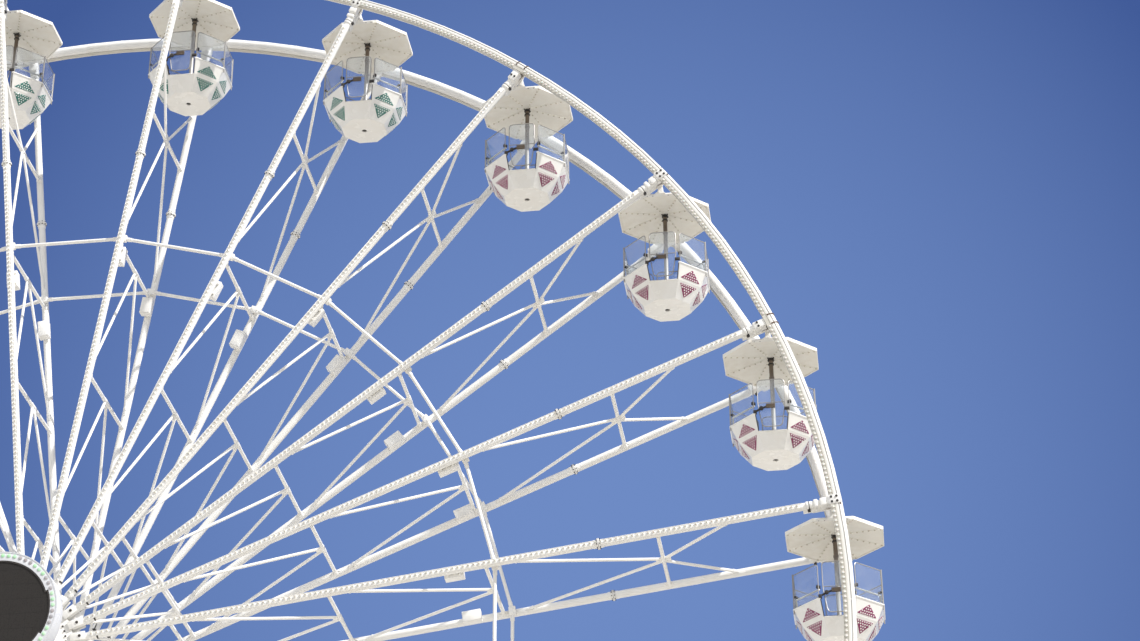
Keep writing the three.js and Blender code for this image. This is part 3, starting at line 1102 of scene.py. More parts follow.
    def parasol_lamps(self) -> Piece:
        """Small lamps in rows under the hips of the roof."""
        lamp = placed(stub((0.020, 0.019, 0.011), (-0.002, 0.009, 0.016)), facing((0.12, 0, -0.003), DOWN))
        return joined(self.under_hips(rows(lamp, 7, (0.133, 0, 0))), "parasol_lamps", 60)

    def hanger(self) -> Piece:
        """The beam over the roof and the flared legs that carry it from the pins.

        Returns:
            The hanger.
        """
        outline = symmetric([
            (0.115, -0.266), (0.102, -0.244), (0.068, -0.226), (0.053, -0.200), (0.050, -0.070),
            (0.073, -0.010), (0.076, 0.030), (0.058, 0.060), (0.024, 0.076),
        ])
        leg = placed(plate(outline, 0.07, 0.006), upright(1.135))
        foot = block((-0.335, 1.004, -0.268), (0.335, 1.076, -0.236), 0.005)
        lip = block((-0.335, 1.006, -0.240), (0.335, 1.024, -0.198), 0.004)
        beam = block((-0.055, -1.07, -0.110), (0.055, 1.07, -0.040), 0.006)
        return joined([beam, *both_sides([leg, foot, lip])], "hanger")

    def pins(self) -> Piece:
        """Pivot pins with their keeper discs, and the bolts of the hanger feet.

        Returns:
            Them as one piece.
        """
        pin = tube((0, 1.05, 0), (0, 1.203, 0), 0.039, 16)
        keeper = disc((0, 1.055, 0), REAR, 0.056, 0.02, 16, 0.004)
        bolts = [bolt(0.014, 0.010, (x, 1.045, -0.268), DOWN) for x in (-0.29, -0.17, 0.17, 0.29)]
        return joined(both_sides([pin, keeper, *bolts]), "pins")

    def post(self) -> Piece:
        """The round post with its collars, which keeps its own coordinates for the painted shade and sunlight
        of its finish.

        Returns:
            The post.
        """
        foot, radius = self.floor_z, self.post_radius
        parts = [tube((0, 0, foot - 0.005), (0, 0, self.under_apex_z - 0.02), radius, 20)]
        for z, size, depth, bevel in (
            (-0.62, radius + 0.009, 0.05, 0.006), (foot + 0.02, 0.11, 0.03, 0.006),
            (foot + 0.09, 0.066, 0.12, 0.008),
        ):
            parts.append(disc((0, 0, z), UP, size, depth, 20, bevel))
        obj = joined(parts, "post")
        values = [value for vertex in obj.data.vertices for value in vertex.co]
        obj.data.attributes.new("local", "FLOAT_VECTOR", "POINT").data.foreach_set("vector", values)
        return obj

    def on_panel(self, panel: int, low: tuple, high: tuple, origin: tuple) -> Matrix:
        """A plane on a panel, with X along it and Y up its slope.

        Args:
            panel: Number of the panel.
            low: Profile point at the foot of the slope.
            high: Profile point at its head.
            origin: Profile point of the plane's origin.

        Returns:
            The matrix from the plane.
        """
        slope = (high[0] - low[0], 0, high[1] - low[1])
        return turned(panel * EIGHTH, "Z") @ basis(REAR, slope, (origin[0], 0, origin[1]))

    def screen_plane(self, panel: int) -> Matrix:
        """The plane of a screen, with its foot at Y = 0."""
        foot = (self.rim[0] - 0.018, self.rim[1])
        return self.on_panel(panel, foot, (self.screen_top[0] - 0.010, self.screen_top[1]), foot)

    def screen_half(self) -> float:
        """Half the width of a screen."""
        return self.screen_top[0] * tan(OCTAGON_TURN)

    def fields(self, margin: float) -> list:
        """The planes of the clear fields and their outlines.

        Args:
            margin: How far the screens' outlines are drawn in at both sides.

        Returns:
            Pairs of plane and outline for the six screens and the two doors.
        """
        half, top = self.screen_half() - margin, self.screen_top[1] - self.rim[1]
        corners = [(-half, -0.01), (half, -0.01), (half, top), (-half, top)]
        pairs = []
        for panel in CLOSED_PANELS:
            towards_door = DOOR_SIDES.get(panel, 0)
            radii = [0, 0, *(0.09 if hand == towards_door else 0.012 for hand in (1, -1))]
            pairs.append((self.screen_plane(panel), rounded(corners, radii)))
        outline = symmetric([(0.205, -2.215), (0.287, -1.70), (0.287, self.door_top_z)])
        door = rounded(outline, [0.09, 0.10, 0.10, 0.10, 0.10, 0.09])
        return pairs + [(upright(side * self.door_y), door) for side in SIDES]

    def panes(self) -> Piece:
        """The clear screens of the six closed sides and the clear fields of the doors."""
        sheets = [placed(plate(line, 0.006), place @ moved(z=-0.003)) for place, line in self.fields(0.012)]
        return joined(sheets, "panes", 30)

    def frames(self) -> Piece:
        """Thin bent frames round the screens and doors, with the uprights between the screens.

        Returns:
            The frames as one piece.
        """
        parts = []
        for place, outline in self.fields(0.010):
            parts.append(rod([place @ Vector((*p, 0)) for p in outline], self.frame_radius, True))
        for side in SIDES:
            parts.append(rod([(x, side * self.door_y, -1.655) for x in (-0.285, 0.285)], 0.009))
        corner = (self.rim[0] - 0.012) / cos(OCTAGON_TURN)
        for turn in (0.5, -0.5, 3.5, 4.5):
            x, y = polar(corner, turn * EIGHTH)
            parts.append(tube((x, y, self.rim[1] - 0.10), (x, y, self.screen_top[1] + 0.02), 0.013, 8))
        return joined(parts, "frames", 40)

    def handrails(self) -> Piece:
        """Cream hand rails inside the screens.

        Returns:
            The rails as one piece.
        """
        reach = self.screen_half() - 0.03
        parts = []
        for panel in CLOSED_PANELS:
            plane = self.screen_plane(panel)
            parts.append(rod([plane @ Vector((x, 0.215, -0.045)) for x in (-reach, reach)], 0.019))
        return joined(parts, "handrails", 40)

    def fittings(self) -> Piece:
        """Dark clamps, hinges, latches, bolts, the drain's lining and the edging of the doors.

        Returns:
            The fittings as one piece.
        """
        parts = []
        half = self.screen_half()
        for panel, hand in DOOR_SIDES.items():
            near, far = hand * (half - 0.045), -hand * (half - 0.04)
            clamps = [
                block((near - 0.022, 0.235, -0.075), (near + 0.022, 0.305, 0.012), 0.005),
                block((far - 0.022, 0.25, -0.075), (far + 0.022, 0.29, 0.012), 0.005),
                block((-half * 0.5 - 0.02, -0.015, -0.02), (-half * 0.5 + 0.02, 0.035, 0.014), 0.004),
            ]
            parts += [placed(clamp, self.screen_plane(panel)) for clamp in clamps]
        parts += on_both_doors([
            block((-0.385, -0.935, -1.925), (-0.315, -0.865, -1.84), 0.008),
            rod([(-0.35, -0.905, -1.875), (-0.22, -0.90, -1.80), (-0.10, -0.895, -1.755)], 0.022),
            disc((-0.215, -0.91, -1.80), REAR, 0.045, 0.05, 12, 0.006),
            block((0.265, -0.925, -1.86), (0.375, -0.875, -1.80), 0.008),
        ])
        top, post = self.under_apex_z - 0.03, self.post_radius
        for z, radius, depth, bevel in (
            (top - 0.03, post + 0.022, 0.055, 0.01), (top - 0.135, post + 0.018, 0.03, 0.006),
            (self.bottom[1] + 0.035, 0.056, 0.02, 0),
        ):
            parts.append(disc((0, 0, z), UP, radius, depth, 16, bevel))
        spot = 0.085 * cos(EIGHTH)
        parts += [bolt(0.016, 0.016, (a * spot, b * spot, top), DOWN) for a, b in CORNERS]
        return joined([*parts, self.edging()], "fittings")

    def edging(self) -> Piece:
        """The dark rubber edge along both jambs and the sill of each door opening.

        Returns:
            The edges as one piece.
        """
        slope = (self.rim[0] - self.knuckle[0]) / (self.rim[1] - self.knuckle[1])
        foot = self.knuckle[0] + slope * (self.sill_z + 0.008 - self.knuckle[1]) - 0.002
        low = (self.door_half_bottom, foot, self.sill_z + 0.006)
        high = (self.door_half_top * 0.99, self.rim[0] - 0.004, self.rim[1])
        parts = []
        for side in SIDES:
            jambs = [[(hand * x, side * y, z) for x, y, z in (low, high)] for hand in SIDES]
            parts += [rod(line, 0.010) for line in (*jambs, [jambs[0][0], jambs[1][0]])]
        return joined(parts, "edging", 40)

    def latch_plates(self) -> Piece:
        """Grey-brown latch boxes beside the posts, one for each door.

        Returns:
            The boxes as one piece.
        """
        parts = [block((-0.115, -0.912, -1.790), (0.075, -0.875, -1.695), 0.006)]
        for k in range(5):
            low = -1.783 + k * 0.0172
            parts.append(block((-0.108, -0.919, low), (0.068, -0.908, low + 0.011), 0.002, 1))
        return joined(on_both_doors(parts), "latch_plates")

    def triangles(self) -> dict:
        """Corners of the two pattern triangles of a panel, above and below the knuckle."""
        return {
            True: [(-0.268, 0.052), (0.268, 0.052), (0.0, 0.282)],
            False: [(0.0, -0.350), (0.232, -0.062), (-0.232, -0.062)],
        }

    def on_closed_panels(self, model: Piece, upper: bool) -> list:
        """A pattern part repeated on the six closed panels of the tub.

        Args:
            model: The part, with the knuckle at Y = 0. It is removed.
            upper: Whether it belongs above the knuckle.

        Returns:
            Its copies.
        """
        slope = (self.knuckle, self.rim) if upper else (self.bottom, self.knuckle)
        copies = [copied(model, matrix=self.on_panel(k, *slope, self.knuckle)) for k in CLOSED_PANELS]
        discard(model)
        return copies

    def pattern(self) -> Piece:
        """Coloured triangles on the six closed panels of the tub.

        Returns:
            The triangles as one piece.
        """
        parts = []
        for upper, corners in self.triangles().items():
            model = plate(rounded(corners, [0.02] * 3, 2), self.pattern_depth, 0.0015)
            parts += self.on_closed_panels(model, upper)
        return joined(parts, "pattern")

    def pattern_caps(self) -> Piece:
        """White caps in close rows on the coloured triangles.

        Returns:
            The caps as one piece.
        """
        parts = []
        pitch, rise = self.pattern_pitch, self.pattern_pitch * 0.866
        for upper, corners in self.triangles().items():
            base_y, tip_y = (corners[0][1], corners[2][1]) if upper else (corners[1][1], corners[0][1])
            height = abs(tip_y - base_y)
            field_rows = []
            for k in range(int(height / rise)):
                up = 0.024 + k * rise
                number = int(2 * (abs(corners[1][0]) * (1 - up / height) - 0.014) / pitch)
                number -= (number + k) % 2
                if number < 0:
                    break
                cap = stub((0.0180, 0.0170, 0.0095), (-0.001, 0.006, 0.011))
                y = base_y + up * (1 if upper else -1)
                placed(cap, moved(-number * pitch / 2, y, self.pattern_depth))
                field_rows.append(rows(cap, number + 1, (pitch, 0, 0)))
            parts += self.on_closed_panels(joined(field_rows, "field", 60), upper)
        return joined(parts, "pattern_caps", 60)

    def build(self, shop: Workshop) -> None:
        """Model one gondola and set a dressed copy on each pivot.

        Args:
            shop: Where the finished pieces go.
        """
        models = (
            (self.tub(), Slot.WHITE_SHELL), (self.bench(), Slot.BLACK_FITTING),
            (self.parasol(), Slot.PARASOL), (self.parasol_lamps(), Slot.LAMP_CAPS),
            (self.hanger(), Slot.WHITE_PAINT), (self.pins(), Slot.BARE_STEEL),
            (self.post(), Slot.BROWN_METAL), (self.panes(), Slot.ACRYLIC),
            (self.frames(), Slot.GREY_METAL), (self.handrails(), Slot.PARASOL),
            (self.fittings(), Slot.BLACK_FITTING), (self.latch_plates(), Slot.BROWN_METAL),
            (self.pattern(), None), (self.pattern_caps(), Slot.WHITE_SHELL),
        )
        for number in range(GONDOLA_COUNT):
            x, z = polar(PIVOT_RADIUS, FIRST_ANGLE + number * STEP_ANGLE)
            place = moved(x, 0, HUB_HEIGHT + z)
            name = f"gondola_{number + 1:02d}"
            for model, slot in models:
                piece = copied(model, f"{name}_{model.name}", place)
                nodes = (name,) if model.name == "tub" else ()
                finish = ROOF_LENSES if slot is Slot.LAMP_CAPS else None
                shop.hand_over(piece, slot or PatternColour.of(number).value, name, *nodes, finish=finish)
        discard(*(model for model, _ in models))


# Spokes, rims and middle rings


@dataclass(frozen=True)
class Lamp:
    """One lamp: a pale cup on the steel and a dark lens in it, standing on the XY plane."""

    foot_radius: float = 0.038
    cup_radius: float = 0.030
    cup_height: float = 0.016
    lens_radius: float = 0.024
    tip_radius: float = 0.014
    lens_height: float = 0.030

    def cup(self) -> Piece:
        """The cup."""
        return stub((self.foot_radius, self.cup_radius), (0, self.cup_height))

    def lens(self) -> Piece:
        """The lens."""
        return stub((self.lens_radius, self.tip_radius), (self.cup_height - 0.006, self.lens_height))


@dataclass
class SpokeFrame:
    """One pair of spokes, modelled with X along the spokes and Y across the wheel.

    Nodes with an odd number have a bolted plate on the rim, the others a flanged joint. What both
    spokes have is given for the rear one.
    """

    radius: float = 0.080
    inner_end: float = 1.055
    outer_end: float = 16.865
    bar_radii: tuple = (3.06, 6.40, 9.70, 13.29)
    bar_radius: float = 0.042
    rod_radius: float = 0.033
    brace_feet: tuple = (1.30, 3.42, 6.72, 10.20)
    outer_foot: float = 14.79
    joint_radius: float = 12.07
    box_radii: tuple = (9.03, 9.47)
    lamp_start: float = 1.45
    lamp_pitch: float = 0.110
    lamp_count: int = 135
    strip_half: float = 0.046
    strip_face: float = 0.088

    def collar(self, x: float, extra: float, length: float, bevel: float = 0.0, y: float = SIDE_Y) -> Piece:
        """A ring round the rear spoke, wider than it by so much."""
        return disc((x, y, 0), RIGHT, self.radius + extra, length, 20, bevel)

    def lamp_row(self, model: Piece, y: float) -> Piece:
        """A lamp part repeated along a spoke at a depth, facing forwards."""
        first = placed(model, facing((self.lamp_start, y, 0), FRONT))
        return rows(first, self.lamp_count, (self.lamp_pitch, 0, 0))

    def spokes(self) -> list:
        """The two round spokes with their flange joint, lamp strip and end sleeves.

        Returns:
            The front and the rear spoke.
        """
        joint, half, face = self.joint_radius, self.strip_half, -self.strip_face
        parts = [tube((self.inner_end, 0, 0), (self.outer_end, 0, 0), self.radius, 20)]
        for x in (self.inner_end + 0.36, joint - 0.06, joint + 0.06):
            parts.append(self.collar(x, 0.010, 0.10, 0.006, 0))
        for x in (joint - 0.012, joint + 0.012):
            parts.append(self.collar(x, 0.038, 0.018, 0.003, 0))
        strip_end = self.lamp_start + self.lamp_count * self.lamp_pitch
        for start, end in ((self.lamp_start - 0.06, joint - 0.03), (joint + 0.03, strip_end)):
            parts.append(block((start, face, -half), (end, face + 0.038, half), 0.004))
            for z in (-half, half):
                parts.append(block((start, face - 0.007, z - 0.004), (end, face + 0.038, z + 0.004)))
        for y in (-0.092, 0.092):
            parts.append(block((1.00, y - 0.011, -0.09), (1.32, y + 0.011, 0.09), 0.004))
        front = placed(joined([*parts, self.lamp_row(Lamp().cup(), face)], "spoke"), moved(y=-SIDE_Y))
        return both_sides([front])

    def lenses(self) -> Piece:
        """One row of lenses on the outward side of each spoke."""
        return joined(both_sides([self.lamp_row(Lamp().lens(), -SIDE_Y - self.strip_face)]), "lenses", 60)

    def braces(self) -> list:
        """Cross bars with flared ends, the V rods between them and their plates.

        Returns:
            Their parts.
        """
        parts = []
        reach, bar = SIDE_Y - self.radius + 0.012, self.bar_radius
        gusset = placed(plate([(0, 0), (0.13, 0), (0.039, 0.048), (0, 0.16)], 0.012, 0.002), moved(z=-0.006))
        for x in self.bar_radii:
            parts.append(tube((x, -reach, 0), (x, reach, 0), bar, 14))
            parts.append(disc((x, 0, 0), REAR, bar + 0.008, 0.30, 14, 0.006))
            parts += both_sides([tube((x, reach, 0), (x, reach - 0.07, 0), 0.072, 14, bar)])
            for hand, side in CORNERS:
                corner = moved(x + hand * 0.035, side * (reach + 0.005))
                parts.append(copied(gusset, matrix=corner @ Matrix.Diagonal((hand, -side, 1, 1))))
        discard(gusset)
        for foot, apex in zip(self.brace_feet, self.bar_radii):
            parts += self.rods(foot, apex, -1)
        return parts + self.rods(self.outer_foot, self.bar_radii[-1], 1)

    def rods(self, foot: float, apex: float, hand: int) -> list:
        """Two rods from the middle of a cross bar to the spokes, with a plate at each end.

        Args:
            foot: Where they meet the spokes.
            apex: Where the cross bar is.
            hand: 1 if they go outwards, -1 if they go inwards.

        Returns:
            Their parts.
        """
        reach = SIDE_Y - self.radius + 0.015
        pad = block((foot - 0.14, reach - 0.012, -0.045), (foot + 0.14, reach + 0.012, 0.045), 0.004)
        parts = both_sides([pad])
        for side in SIDES:
            start = Vector((apex + hand * self.bar_radius * 0.6, side * 0.05, 0))
            end = Vector((foot, side * reach, 0))
            way = (end - start).normalized()
            tip = end - way * 0.16
            parts.append(tube(start, end, self.rod_radius, 10))
            parts.append(tube(tip, tip + way * 0.05, self.rod_radius + 0.009, 10))
        outline = [(hand * -0.02, -0.15), (hand * 0.16, -0.10), (hand * 0.16, 0.10), (hand * -0.02, 0.15)]
        apex_plate = plate(outline[::hand], 0.012, 0.002)
        return [*parts, placed(apex_plate, moved(apex, 0, -0.006))]

    def white_parts(self, kind: int) -> list:
        """The equipment boxes, and the fittings that join the spokes to the rims and the bearings.

        Args:
            kind: 0 for a bolted plate on the rim and 1 for a flanged joint.

        Returns:
            Their parts.
        """
        x, high = self.box_radii[kind], SIDE_Y - self.radius - 0.006
        low = high - 0.205
        boxes = [
            ((x - 0.205, low, -0.125), (x + 0.205, high, 0.125), 0.014, 3),
            ((x - 0.190, low - 0.006, -0.110), (x + 0.190, low, 0.110), 0.003),
            ((x - 0.15, high, -0.10), (x - 0.11, high + 0.05, 0.10), 0.004),
            ((x + 0.11, high, -0.10), (x + 0.15, high + 0.05, 0.10), 0.004),
            ((16.30, 1.15, -0.080), (16.74, 1.30, 0.080), 0.012),
            ((16.48, 1.152, -0.095), (16.99, 1.198, 0.095), 0.010),
        ]
        if kind:
            boxes += [
                ((16.60, 1.235, -0.085), (16.87, 1.452, 0.085), 0.018, 3),
                ((16.87, 1.26, -0.085), (17.03, 1.445, 0.085), 0.02, 3),
            ]
        else:
            boxes += [
                ((16.84, 1.456, -0.10), (17.08, 1.472, 0.10), 0.008),
                ((16.66, 1.235, -0.088), (16.80, 1.455, 0.088), 0.024, 3),
                ((16.53, 1.25, -0.085), (16.62, 1.44, 0.085), 0.022, 3),
                ((16.80, 1.24, -0.080), (17.02, 1.458, 0.080), 0.012),
            ]
        bearing = disc((PIVOT_RADIUS, 1.176, 0), REAR, 0.108, 0.046, 24, 0.008)
        collars = [self.collar(16.40, 0.017, 0.05, 0.006), self.collar(16.47, 0.011, 0.06, 0.006)]
        return both_sides([*(block(*box) for box in boxes), bearing, *collars])

    def dark_fittings(self, kind: int) -> Piece:
        """Dark bolts, clamps and clevises of one frame.

        Args:
            kind: Kind of the rim joint.

        Returns:
            The fittings as one piece.
        """
        parts = [
            disc((PIVOT_RADIUS, 1.222, 0), REAR, 0.060, 0.040, 16, 0.008),
            disc((1.20, SIDE_Y, 0), REAR, 0.030, 0.235, 16, 0.004),
            self.collar(16.436, 0.008, 0.026), self.collar(1.56, 0.009, 0.035, 0.004),
            block((16.39, 1.31, -0.135), (16.450, 1.38, -0.086), 0.008),
        ]
        if kind:
            parts += [bolt(0.027, 0.020, (16.70, 1.450, z), REAR) for z in (-0.045, 0.045)]
            parts.append(block((16.86, 1.30, -0.125), (16.92, 1.38, -0.080), 0.010))
        else:
            parts += [bolt(0.027, 0.020, (16.96 + a * 0.055, 1.471, b * 0.055), REAR) for a, b in CORNERS]
        near, far = self.joint_radius - 0.042, self.joint_radius + 0.042
        for k in range(8):
            y, z = polar(0.103, (k + 0.5) * EIGHTH)
            parts.append(tube((near, SIDE_Y + y, z), (far, SIDE_Y + y, z), 0.011, 6))
        cable = ((1.34, 1.26, -0.05), (1.42, 1.22, -0.03), (1.56, 1.25, -0.02), (1.72, 1.262, 0))
        cables = [rod([(x, side * y, z) for x, y, z in cable], 0.011) for side in SIDES]
        return joined([*both_sides(parts), *cables], "fittings")

    def rusted(self, kind: int) -> Piece:
        """The rusty packings, bearing bars and rim flanges of one frame.

        Args:
            kind: Kind of the rim joint.

        Returns:
            Them as one piece.
        """
        bar = block((16.80, 1.205, -0.075), (17.02, 1.262, 0.075), 0.012)
        parts = [self.collar(self.joint_radius, 0.030, 0.008), bar]
        if kind:
            parts += [disc((RIM_RADIUS, SIDE_Y, z), UP, 0.130, 0.024, 24, 0.004) for z in (-0.115, 0.115)]
        else:
            parts.append(block((17.055, 1.40, -0.12), (17.085, 1.450, 0.12), 0.006))
        return joined(both_sides(parts), "rusted")

    def build(self, shop: Workshop) -> None:
        """Model one frame of either kind and set copies around the hub.

        Args:
            shop: Where the finished pieces go.
        """
        base, lenses = joined(self.spokes() + self.braces(), "frame"), self.lenses()
        kinds = []
        for kind in range(2):
            steel = joined([copied(base), *self.white_parts(kind)], "steel")
            kinds.append((
                ("steel", steel, Slot.WHITE_PAINT, None),
                ("fittings", self.dark_fittings(kind), Slot.BLACK_FITTING, None),
                ("rusted", self.rusted(kind), Slot.BROWN_METAL, RUSTED),
                ("lenses", lenses, Slot.LAMP_CAPS, None),
            ))
        for number in range(GONDOLA_COUNT):
            place = AT_HUB @ turned(-FIRST_ANGLE - number * STEP_ANGLE)
            name = f"spoke_frame_{number + 1:02d}"
            for label, model, slot, finish in kinds[number % 2]:
                nodes = (name,) if label == "steel" else ()
                shop.hand_over(copied(model, f"{name}_{label}", place), slot, "wheel", *nodes, finish=finish)
        discard(base, lenses, *(model for kind in kinds for _, model, *_ in kind[:3]))


@dataclass
class Rim:
    """A round rim tube with its lamp strip, outer ridge, lamps and weld seams.

    The front rim is modelled around the origin and mirrored for the rear one.
    """

    radius: float = RIM_RADIUS
    tube_radius: float = 0.116
    segments: int = 144
    sides: int = 20
    lamp_radius: float = 16.912
    lamp_face: float = 0.122
    lamps_per_step: int = 40
    lamp_pitch: float = 0.1046
    lamp: Lamp = Lamp(lens_radius=0.030, tip_radius=0.019)

    def steel(self) -> Piece:
        """The tube with its ridge and weld seams.

        Returns:
            The tube.
        """
        size = self.tube_radius
        points = [polar(size, 2 * pi * k / self.sides) for k in range(self.sides)]
        circle = [(self.radius + x, y) for x, y in points]
        ridge = hoop(17.044, 17.056, -0.114, -0.06, self.segments)
        seam = disc((self.radius, 0, 0), UP, size + 0.003, 0.016, 20)
        seams = around_axis(placed(seam, turned(-FIRST_ANGLE - STEP_ANGLE / 2)), GONDOLA_COUNT)
        return joined([swept(circle, self.segments), ridge, seams], "rim", 40)

    def strip(self) -> Piece:
        """The lamp strip with its two lips and the lamp cups.

        Returns:
            The strip.
        """
        face = -self.lamp_face
        parts = [swept([(16.868, face), (16.956, face), (16.956, -0.05), (16.868, -0.02)], self.segments)]
        for low, high in ((16.865, 16.871), (16.953, 16.959)):
            parts.append(hoop(low, high, face - 0.006, -0.06, self.segments))
        return joined([*parts, self.all_round(self.lamp.cup())], "strip", 40)

    def all_round(self, model: Piece) -> Piece:
        """A lamp part repeated at every lamp of the rim, with a break at each spoke.

        Args:
            model: The part, which is removed.

        Returns:
            Its copies as one piece.
        """
        placed(model, facing((self.lamp_radius, -self.lamp_face, 0), FRONT))
        step = self.lamp_pitch / self.lamp_radius
        first = FIRST_ANGLE + STEP_ANGLE / 2 - step * (self.lamps_per_step - 1) / 2
        group = [copied(model, matrix=turned(-first - k * step)) for k in range(self.lamps_per_step)]
        discard(model)
        return around_axis(joined(group, "group", 60), GONDOLA_COUNT, "round", 60)

    def groove(self) -> Piece:
        """A grey ring beside the ridge: painted shade for the shadow line in the groove between the ridge and
        the tube.
        """
        return swept([(17.026, -0.1145), (17.043, -0.1105), (17.043, -0.08), (17.026, -0.08)], self.segments)

    def build(self, shop: Workshop) -> None:
        """Model the front rim and mirror it for the rear one.

        Args:
            shop: Where the finished pieces go.
        """
        models = (
            (self.steel(), "tube", Slot.WHITE_PAINT, None),
            (self.strip(), "strip", Slot.WHITE_PAINT, LAMP_STRIP),
            (self.all_round(self.lamp.lens()), "lenses", Slot.LAMP_CAPS, RIM_LENSES),
            # The grey groove ring is painted shade for the shadow beside the ridge
            (self.groove(), "groove", Slot.GREY_METAL, None),
        )
        for side, label in zip(SIDES, ("front_rim", "rear_rim")):
            place = moved(0, side * SIDE_Y, HUB_HEIGHT) @ Matrix.Diagonal((1, -side, 1, 1))
            for model, name, slot, finish in models:
                nodes = (label,) if name == "tube" else ()
                shop.hand_over(copied(model, f"{label}_{name}", place), slot, "wheel", *nodes, finish=finish)
        discard(*(model for model, *_ in models))


@dataclass
class MidRing:
    """A thin ring of straight tubes between the spokes, with a clamp at each spoke."""

    radius: float = 9.81
    centre_y: float = 1.2227
    tube_radius: float = 0.039

    def build(self, shop: Workshop) -> None:
        """Model one pitch of each ring and repeat it around the hub.

        Args:
            shop: Where the finished pieces go.
        """
        corner = self.radius / cos(STEP_ANGLE / 2)
        for side, label in zip(SIDES, ("front_mid_ring", "rear_mid_ring")):
            y = side * self.centre_y
            points = [polar(corner, angle) for angle in (FIRST_ANGLE, FIRST_ANGLE + STEP_ANGLE)]
            ends = [Vector((x, y, z)) for x, z in points]
            way = (ends[1] - ends[0]).normalized()
            parts = [tube(*ends, self.tube_radius, 14)]
            for at, hand in zip(ends, (1, -1)):
                sleeve = [at + way * hand * reach for reach in (0.10, 0.22)]
                parts.append(tube(*sleeve, self.tube_radius + 0.009, 14))
            at_spoke = [block((corner - 0.075, y - 0.05, -0.10), (corner + 0.075, y + 0.05, 0.10), 0.010)]
            for z in (-0.065, 0.065):
                at_spoke.append(bolt(0.018, 0.016, (corner, y - side * 0.05, z), (0, -side, 0)))
            parts += [placed(part, turned(-FIRST_ANGLE)) for part in at_spoke]
            ring = around_axis(joined(parts, "pitch"), GONDOLA_COUNT, f"{label}_tubes")
            shop.hand_over(placed(ring, AT_HUB), Slot.WHITE_PAINT, "wheel", label)


# Hub, axle and display


@dataclass
class Hub:
    """The hub drum with its two spoke flanges, ribs and bolts."""

    drum_radius: float = 0.42
    half_width: float = 1.99
    flange_radius: float = 1.05

    def build(self, shop: Workshop) -> None:
        """Model the hub around the origin and lift it to its height.

        Args:
            shop: Where the finished pieces go.
        """
        rib = placed(block((0.42, -0.05, -0.008), (1.03, 0.05, 0.008)), turned(-FIRST_ANGLE))
        parts = [placed(around_axis(rib, GONDOLA_COUNT), moved(y=SIDE_Y))]
        for offset in (-0.058, 0.058):
            parts.append(disc((0, SIDE_Y + offset, 0), REAR, self.flange_radius, 0.022, 72, 0.004))
        for y, radius, depth in ((1.90, 0.50, 0.10), (1.62, 0.46, 0.05), (1.00, 0.47, 0.06)):
            parts.append(disc((0, y, 0), REAR, radius, depth, 48, 0.008))
        drum = disc((0, 0, 0), REAR, self.drum_radius, 2 * self.half_width - 0.02, 48, 0.02)
        body = joined([drum, *both_sides(parts)], "hub_body")
        shop.hand_over(placed(body, AT_HUB), Slot.WHITE_PAINT, "wheel", "hub")
        bolts = [bolt_circle(16, 0.46, 1.95, 1)]
        for side in SIDES:
            y = SIDE_Y + side * 0.069
            bolts += [bolt_circle(48, 0.90, y, side), bolt_circle(24, 0.56, y, side)]
        fixings = joined(both_sides(bolts), "hub_bolts")
        shop.hand_over(placed(fixings, AT_HUB), Slot.BLACK_FITTING, "wheel")


@dataclass
class Axle:
    """The fixed axle with its bolted end cap."""

    radius: float = 0.196
    cap_radius: float = 0.258

    def build(self, shop: Workshop) -> None:
        """Model the axle around the origin and lift it to its height.

        Args:
            shop: Where the finished pieces go.
        """
        shaft = tube((0, -2.498, 0), (0, 2.50, 0), self.radius, 40)
        cap = disc((0, 2.529, 0), REAR, self.cap_radius, 0.056, 48, 0.008)
        boss = disc((0, 2.553, 0), REAR, 0.10, 0.012, 32, 0.004)
        steel = joined([shaft, cap, boss, bolt_circle(8, 0.195, 2.552, 1, 0.020)], "axle_steel")
        shop.hand_over(placed(steel, AT_HUB), Slot.BARE_STEEL, "support", "axle")


